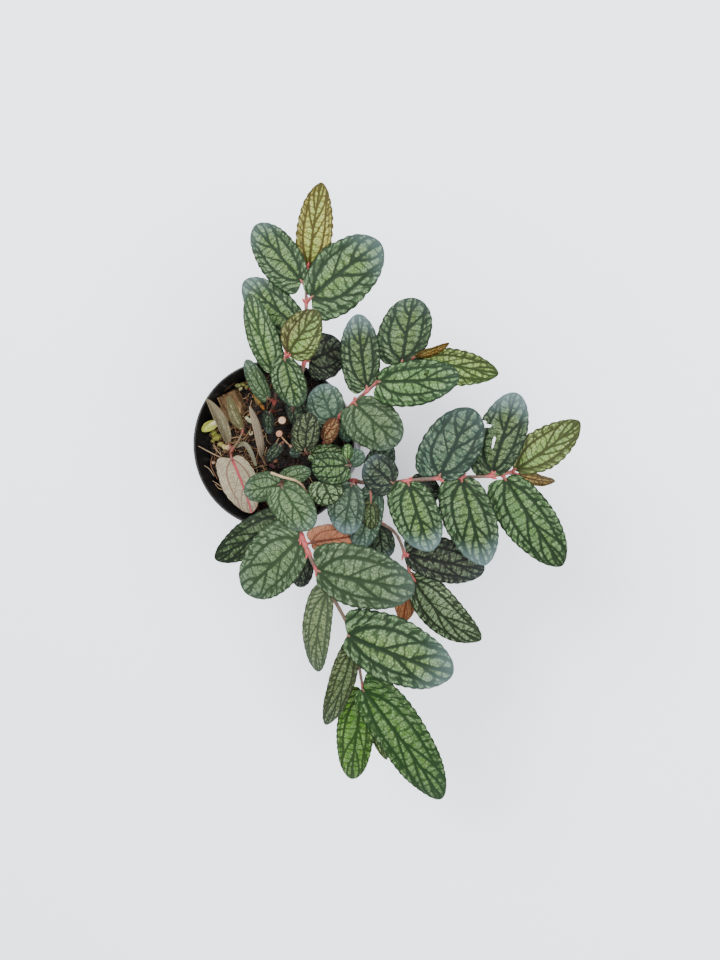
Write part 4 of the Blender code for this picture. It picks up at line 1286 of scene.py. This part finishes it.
def add_lump(pieces, ball, place, sizes, turn, tint, rough=0.3):
    """A knobbly lump, flattened and turned."""
    points, faces = ball
    seed = Vector(place)
    swell = np.array([1 + rough * noise.noise(Vector(point) * 1.7 + seed) for point in points])
    shape = points * swell[:, None] * np.array(sizes)
    cos, sin = polar(1.0, turn)
    x = shape[:, 0] * cos - shape[:, 1] * sin
    y = shape[:, 0] * sin + shape[:, 1] * cos
    spread = np.stack([x, y, shape[:, 2]], axis=1) + np.array(place)
    pieces.add(keep_inside(spread), faces, tint=linear(tint), spot=spread)


def soil_places(chance, count, sector):
    """Places on the soil within a sector, more of them towards the wall."""
    edge = inner_wall_radius(SOIL_TOP) - LITTER_GAP
    for _ in range(count):
        angle = math.radians(chance.uniform(*sector))
        yield polar(edge * math.sqrt(chance.uniform(0.03, 1.0)), angle)


def add_crumbs(pieces, chance, count, sector):
    """Crumbs of bark and peat strewn on the soil."""
    ball = ball_shape(2)
    for x, y in soil_places(chance, count, sector):
        size = chance.uniform(*CRUMB_SIZE)
        sizes = (size, size * chance.uniform(*CRUMB_WIDE), size * chance.uniform(*CRUMB_HIGH))
        tint = np.array(chance.choice(CRUMB_TINTS)) * chance.uniform(*CRUMB_TONE)
        place = (x, y, soil_height(x, y) + 0.2 * size)
        add_lump(pieces, ball, place, sizes, chance.uniform(0, math.pi), tint, CRUMB_ROUGHNESS)


def add_fibres(pieces, chance, count, sector):
    """Bent fibres that lie on the soil and turn back at the pot's wall."""
    for x, y in soil_places(chance, count, sector):
        turn = chance.uniform(0, math.tau)
        step = chance.uniform(*FIBRE_LONG) / 3
        points = []
        for _ in range(4):
            if math.hypot(x, y) > inner_wall_radius(SOIL_TOP) - FIBRE_GAP:
                turn = math.atan2(-y, -x)
            points.append((x, y, soil_height(x, y) + chance.uniform(*FIBRE_LIFT)))
            turn += chance.uniform(-FIBRE_BEND, FIBRE_BEND)
            x += math.cos(turn) * step
            y += math.sin(turn) * step
        route = smooth_route(points, STALK_STEP)
        shell, faces, _ = tube(route, np.full(len(route), chance.uniform(*FIBRE_RADIUS)), 5)
        tint = linear(chance.choice(FIBRE_TINTS)) * chance.uniform(*FIBRE_TONE)
        pieces.add(keep_inside(shell), faces, tint=tint, spot=shell)


def bark_reach(outline, middle, way):
    """How far the bark chip's ragged outline is from its middle, one way."""
    reaches = []
    for a, b in zip(outline, np.roll(outline, -1, axis=0)):
        ahead, beside = np.linalg.solve(np.array([way, a - b]).T, a - middle)
        if ahead > 0 and -1e-6 <= beside <= 1 + 1e-6:
            reaches.append(ahead)
    return min(reaches) * (1 + BARK_RAGGED * noise.noise(Vector((*(way * 3.1), 4.0))))


def add_bark_chip(pieces):
    """A slab of bark with grooves along its grain."""
    outline = np.array(BARK_CHIP)
    middle = outline.mean(axis=0)
    sides = 3 * BARK_RINGS
    ways = [np.array(polar(1.0, math.tau * side / sides)) for side in range(sides)]
    rim = [way * bark_reach(outline, middle, way) for way in ways]
    low, high = BARK_CHIP_HEIGHTS
    grain = np.array(BARK_GRAIN)
    across = np.array([-grain[1], grain[0]])
    points, tints = [], []
    for share in np.linspace(0, 1, BARK_RINGS + 1):
        for corner in rim:
            place = middle + corner * share
            groove_place = Vector((place.dot(across) * 0.9, place.dot(grain) * 0.09, 2.0))
            groove = noise.turbulence(groove_place, 4, False)
            edge = smooth(0.80, 1.0, share)
            height = high - BARK_SINK + BARK_GROOVE * (groove - 0.5) - (high - low) * edge ** 2
            points.append((*place, height + BARK_TILT * (place[1] - middle[1])))
            # Paler on the raised ridges, darker in the grooves: partly the bark's own colour, partly
            # painted highlight and shade
            pale = float(np.clip(1.6 * (groove - 0.25), 0, 1))
            tints.append(linear(BARK_DARK) * (1 - pale) + linear(BARK_PALE_AND_HIGHLIGHT) * pale)
    faces = ring_faces(BARK_RINGS, sides, turned=True)
    pieces.add(keep_inside(points), faces, tint=tints, spot=points)


def add_strand(pieces, points, radius, flat, tint):
    """A bent thread or strap, thinner at its ends."""
    route = smooth_route(points, 0.7)
    ends = 0.45 + 0.55 * np.sin(np.pi * np.linspace(0.08, 0.92, len(route)))
    shell, faces, share = tube(route, radius * ends, 10, flat, (0.1, 0.2, 1.0))
    pale = 0.85 + 0.35 * share[:, None]
    pieces.add(keep_inside(shell), faces, 2, tint=linear(tint) * pale, spot=shell)


def add_bud(pieces):
    points, radii, tints = zip(*BUD)
    route = smooth_route(points, 0.5)
    known = np.linspace(0, 1, len(BUD))
    radii = np.interp(np.linspace(0, 1, len(route)), known, radii)
    shell, faces, share = tube(route, radii, 16, 0.85, UPWARD)
    channels = linear(tints).T
    tint = np.stack([np.interp(share, known, channel) for channel in channels], axis=1)
    pieces.add(keep_inside(shell), faces, 2, tint=tint, spot=shell)


def add_cut_face(pieces, place, radius, tints):
    """A cut stem's end: rings of other tints round its middle."""
    tints = linear(tints)
    points, colours = [place], [tints[0]]
    for ring in range(1, CUT_RINGS + 1):
        share = ring / CUT_RINGS
        step = share * (len(tints) - 1)
        first = min(int(step), len(tints) - 2)
        colour = tints[first] * (first + 1 - step) + tints[first + 1] * (step - first)
        for side in range(CUT_SIDES):
            turn = math.tau * side / CUT_SIDES
            x, y = polar(radius * share * (1 + 0.05 * math.sin(2 * turn + 1)), turn)
            drop = 0.12 * math.sin(step * 4 + turn) - 0.25 * smooth(0.8, 1.0, share)
            points.append((place[0] + x, place[1] + y, place[2] + drop))
            colours.append(colour)
    faces = fan_faces(0, 1, CUT_SIDES) + ring_faces(CUT_RINGS - 1, CUT_SIDES, 1, turned=True)
    pieces.add(points, faces, 2, tint=colours, spot=points)


def build_litter(materials):
    chance = random.Random(f"{SEED} litter")
    litter = Pieces()
    for sector, count in CRUMBS:
        add_crumbs(litter, chance, count, sector)
    for sector, count in FIBRES:
        add_fibres(litter, chance, count, sector)
    add_bark_chip(litter)
    ball = ball_shape(3)
    for place, sizes, turn, tint in LUMPS:
        add_lump(litter, ball, place, sizes, math.radians(turn), tint)
    litter.build("soil_litter", materials)
    remains = Pieces()
    for strand in STRANDS:
        add_strand(remains, *strand)
    add_bud(remains)
    for cut_face in CUT_FACES:
        add_cut_face(remains, *cut_face)
    remains.build("dry_remains", materials)


# Floor, light and camera, in metres, watts and pixels of the picture

CAMERA_PLACE = (0.1201, 0.0, 0.4546)
CAMERA_AXES = ((0.9815, -0.0122, 0.1910), (0.0029, 0.9988, 0.0484), (-0.1914, -0.0469, 0.9804))
FOCAL_PIXELS = 721.0
PICTURE_HEIGHT = 960.0
SENSOR = 36.0
FLOOR_REACH = 3.0
LIGHT_TARGET = (0.03, 0.0, 0.09)
ROOM_COLOUR = (0.97, 0.985, 1.0, 1.0)
ROOM_STRENGTH = 1.55


def build_camera():
    data = bpy.data.cameras.new("camera")
    data.sensor_width = SENSOR
    data.lens = FOCAL_PIXELS * SENSOR / PICTURE_HEIGHT
    camera = bpy.data.objects.new("camera", data)
    camera.matrix_world = Matrix.Translation(CAMERA_PLACE) @ Matrix(CAMERA_AXES).to_4x4()
    bpy.context.scene.collection.objects.link(camera)
    bpy.context.scene.camera = camera


def build_floor():
    mesh = bpy.data.meshes.new("floor")
    corners = [(-1, -1, 0), (1, -1, 0), (1, 1, 0), (-1, 1, 0)]
    mesh.from_pydata((np.array(corners) * FLOOR_REACH).tolist(), [], [(0, 1, 2, 3)])
    floor = bpy.data.objects.new("floor", mesh)
    graph = Graph("floor_paint", Roughness=0.9, Base_Color=shade(FLOOR_PAINT))
    mesh.materials.append(graph.material)
    bpy.context.scene.collection.objects.link(floor)


def add_light(name, place, size, power, colour):
    """A round soft light that points at the plant."""
    data = bpy.data.lights.new(name, "AREA")
    data.shape = "DISK"
    data.size = size
    data.energy = power
    data.color = colour
    light = bpy.data.objects.new(name, data)
    light.location = place
    aim = Vector(LIGHT_TARGET) - Vector(place)
    light.rotation_euler = aim.to_track_quat("-Z", "Y").to_euler()
    bpy.context.scene.collection.objects.link(light)


def build_lights():
    add_light("window", place=(-0.5, 0.7, 1.1), size=0.8, power=25.0, colour=(0.98, 0.99, 1.0))
    add_light("ceiling", place=(0.8, -0.1, 1.2), size=1.2, power=26.0, colour=(0.99, 0.99, 1.0))
    world = bpy.data.worlds.new("room")
    world.use_nodes = True
    sky = world.node_tree.nodes["Background"].inputs
    sky["Color"].default_value = ROOM_COLOUR
    sky["Strength"].default_value = ROOM_STRENGTH
    bpy.context.scene.world = world


def main():
    build_camera()
    build_floor()
    build_lights()
    build_pot(pot_material())
    build_soil(soil_material())
    plant = [leaf_material(), leaf_back_material(), stem_material()]
    for name, shoot in SHOOTS.items():
        build_shoot(name, shoot, plant)
    build_litter([litter_material(), plant[1], plant[2]])
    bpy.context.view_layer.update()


main()
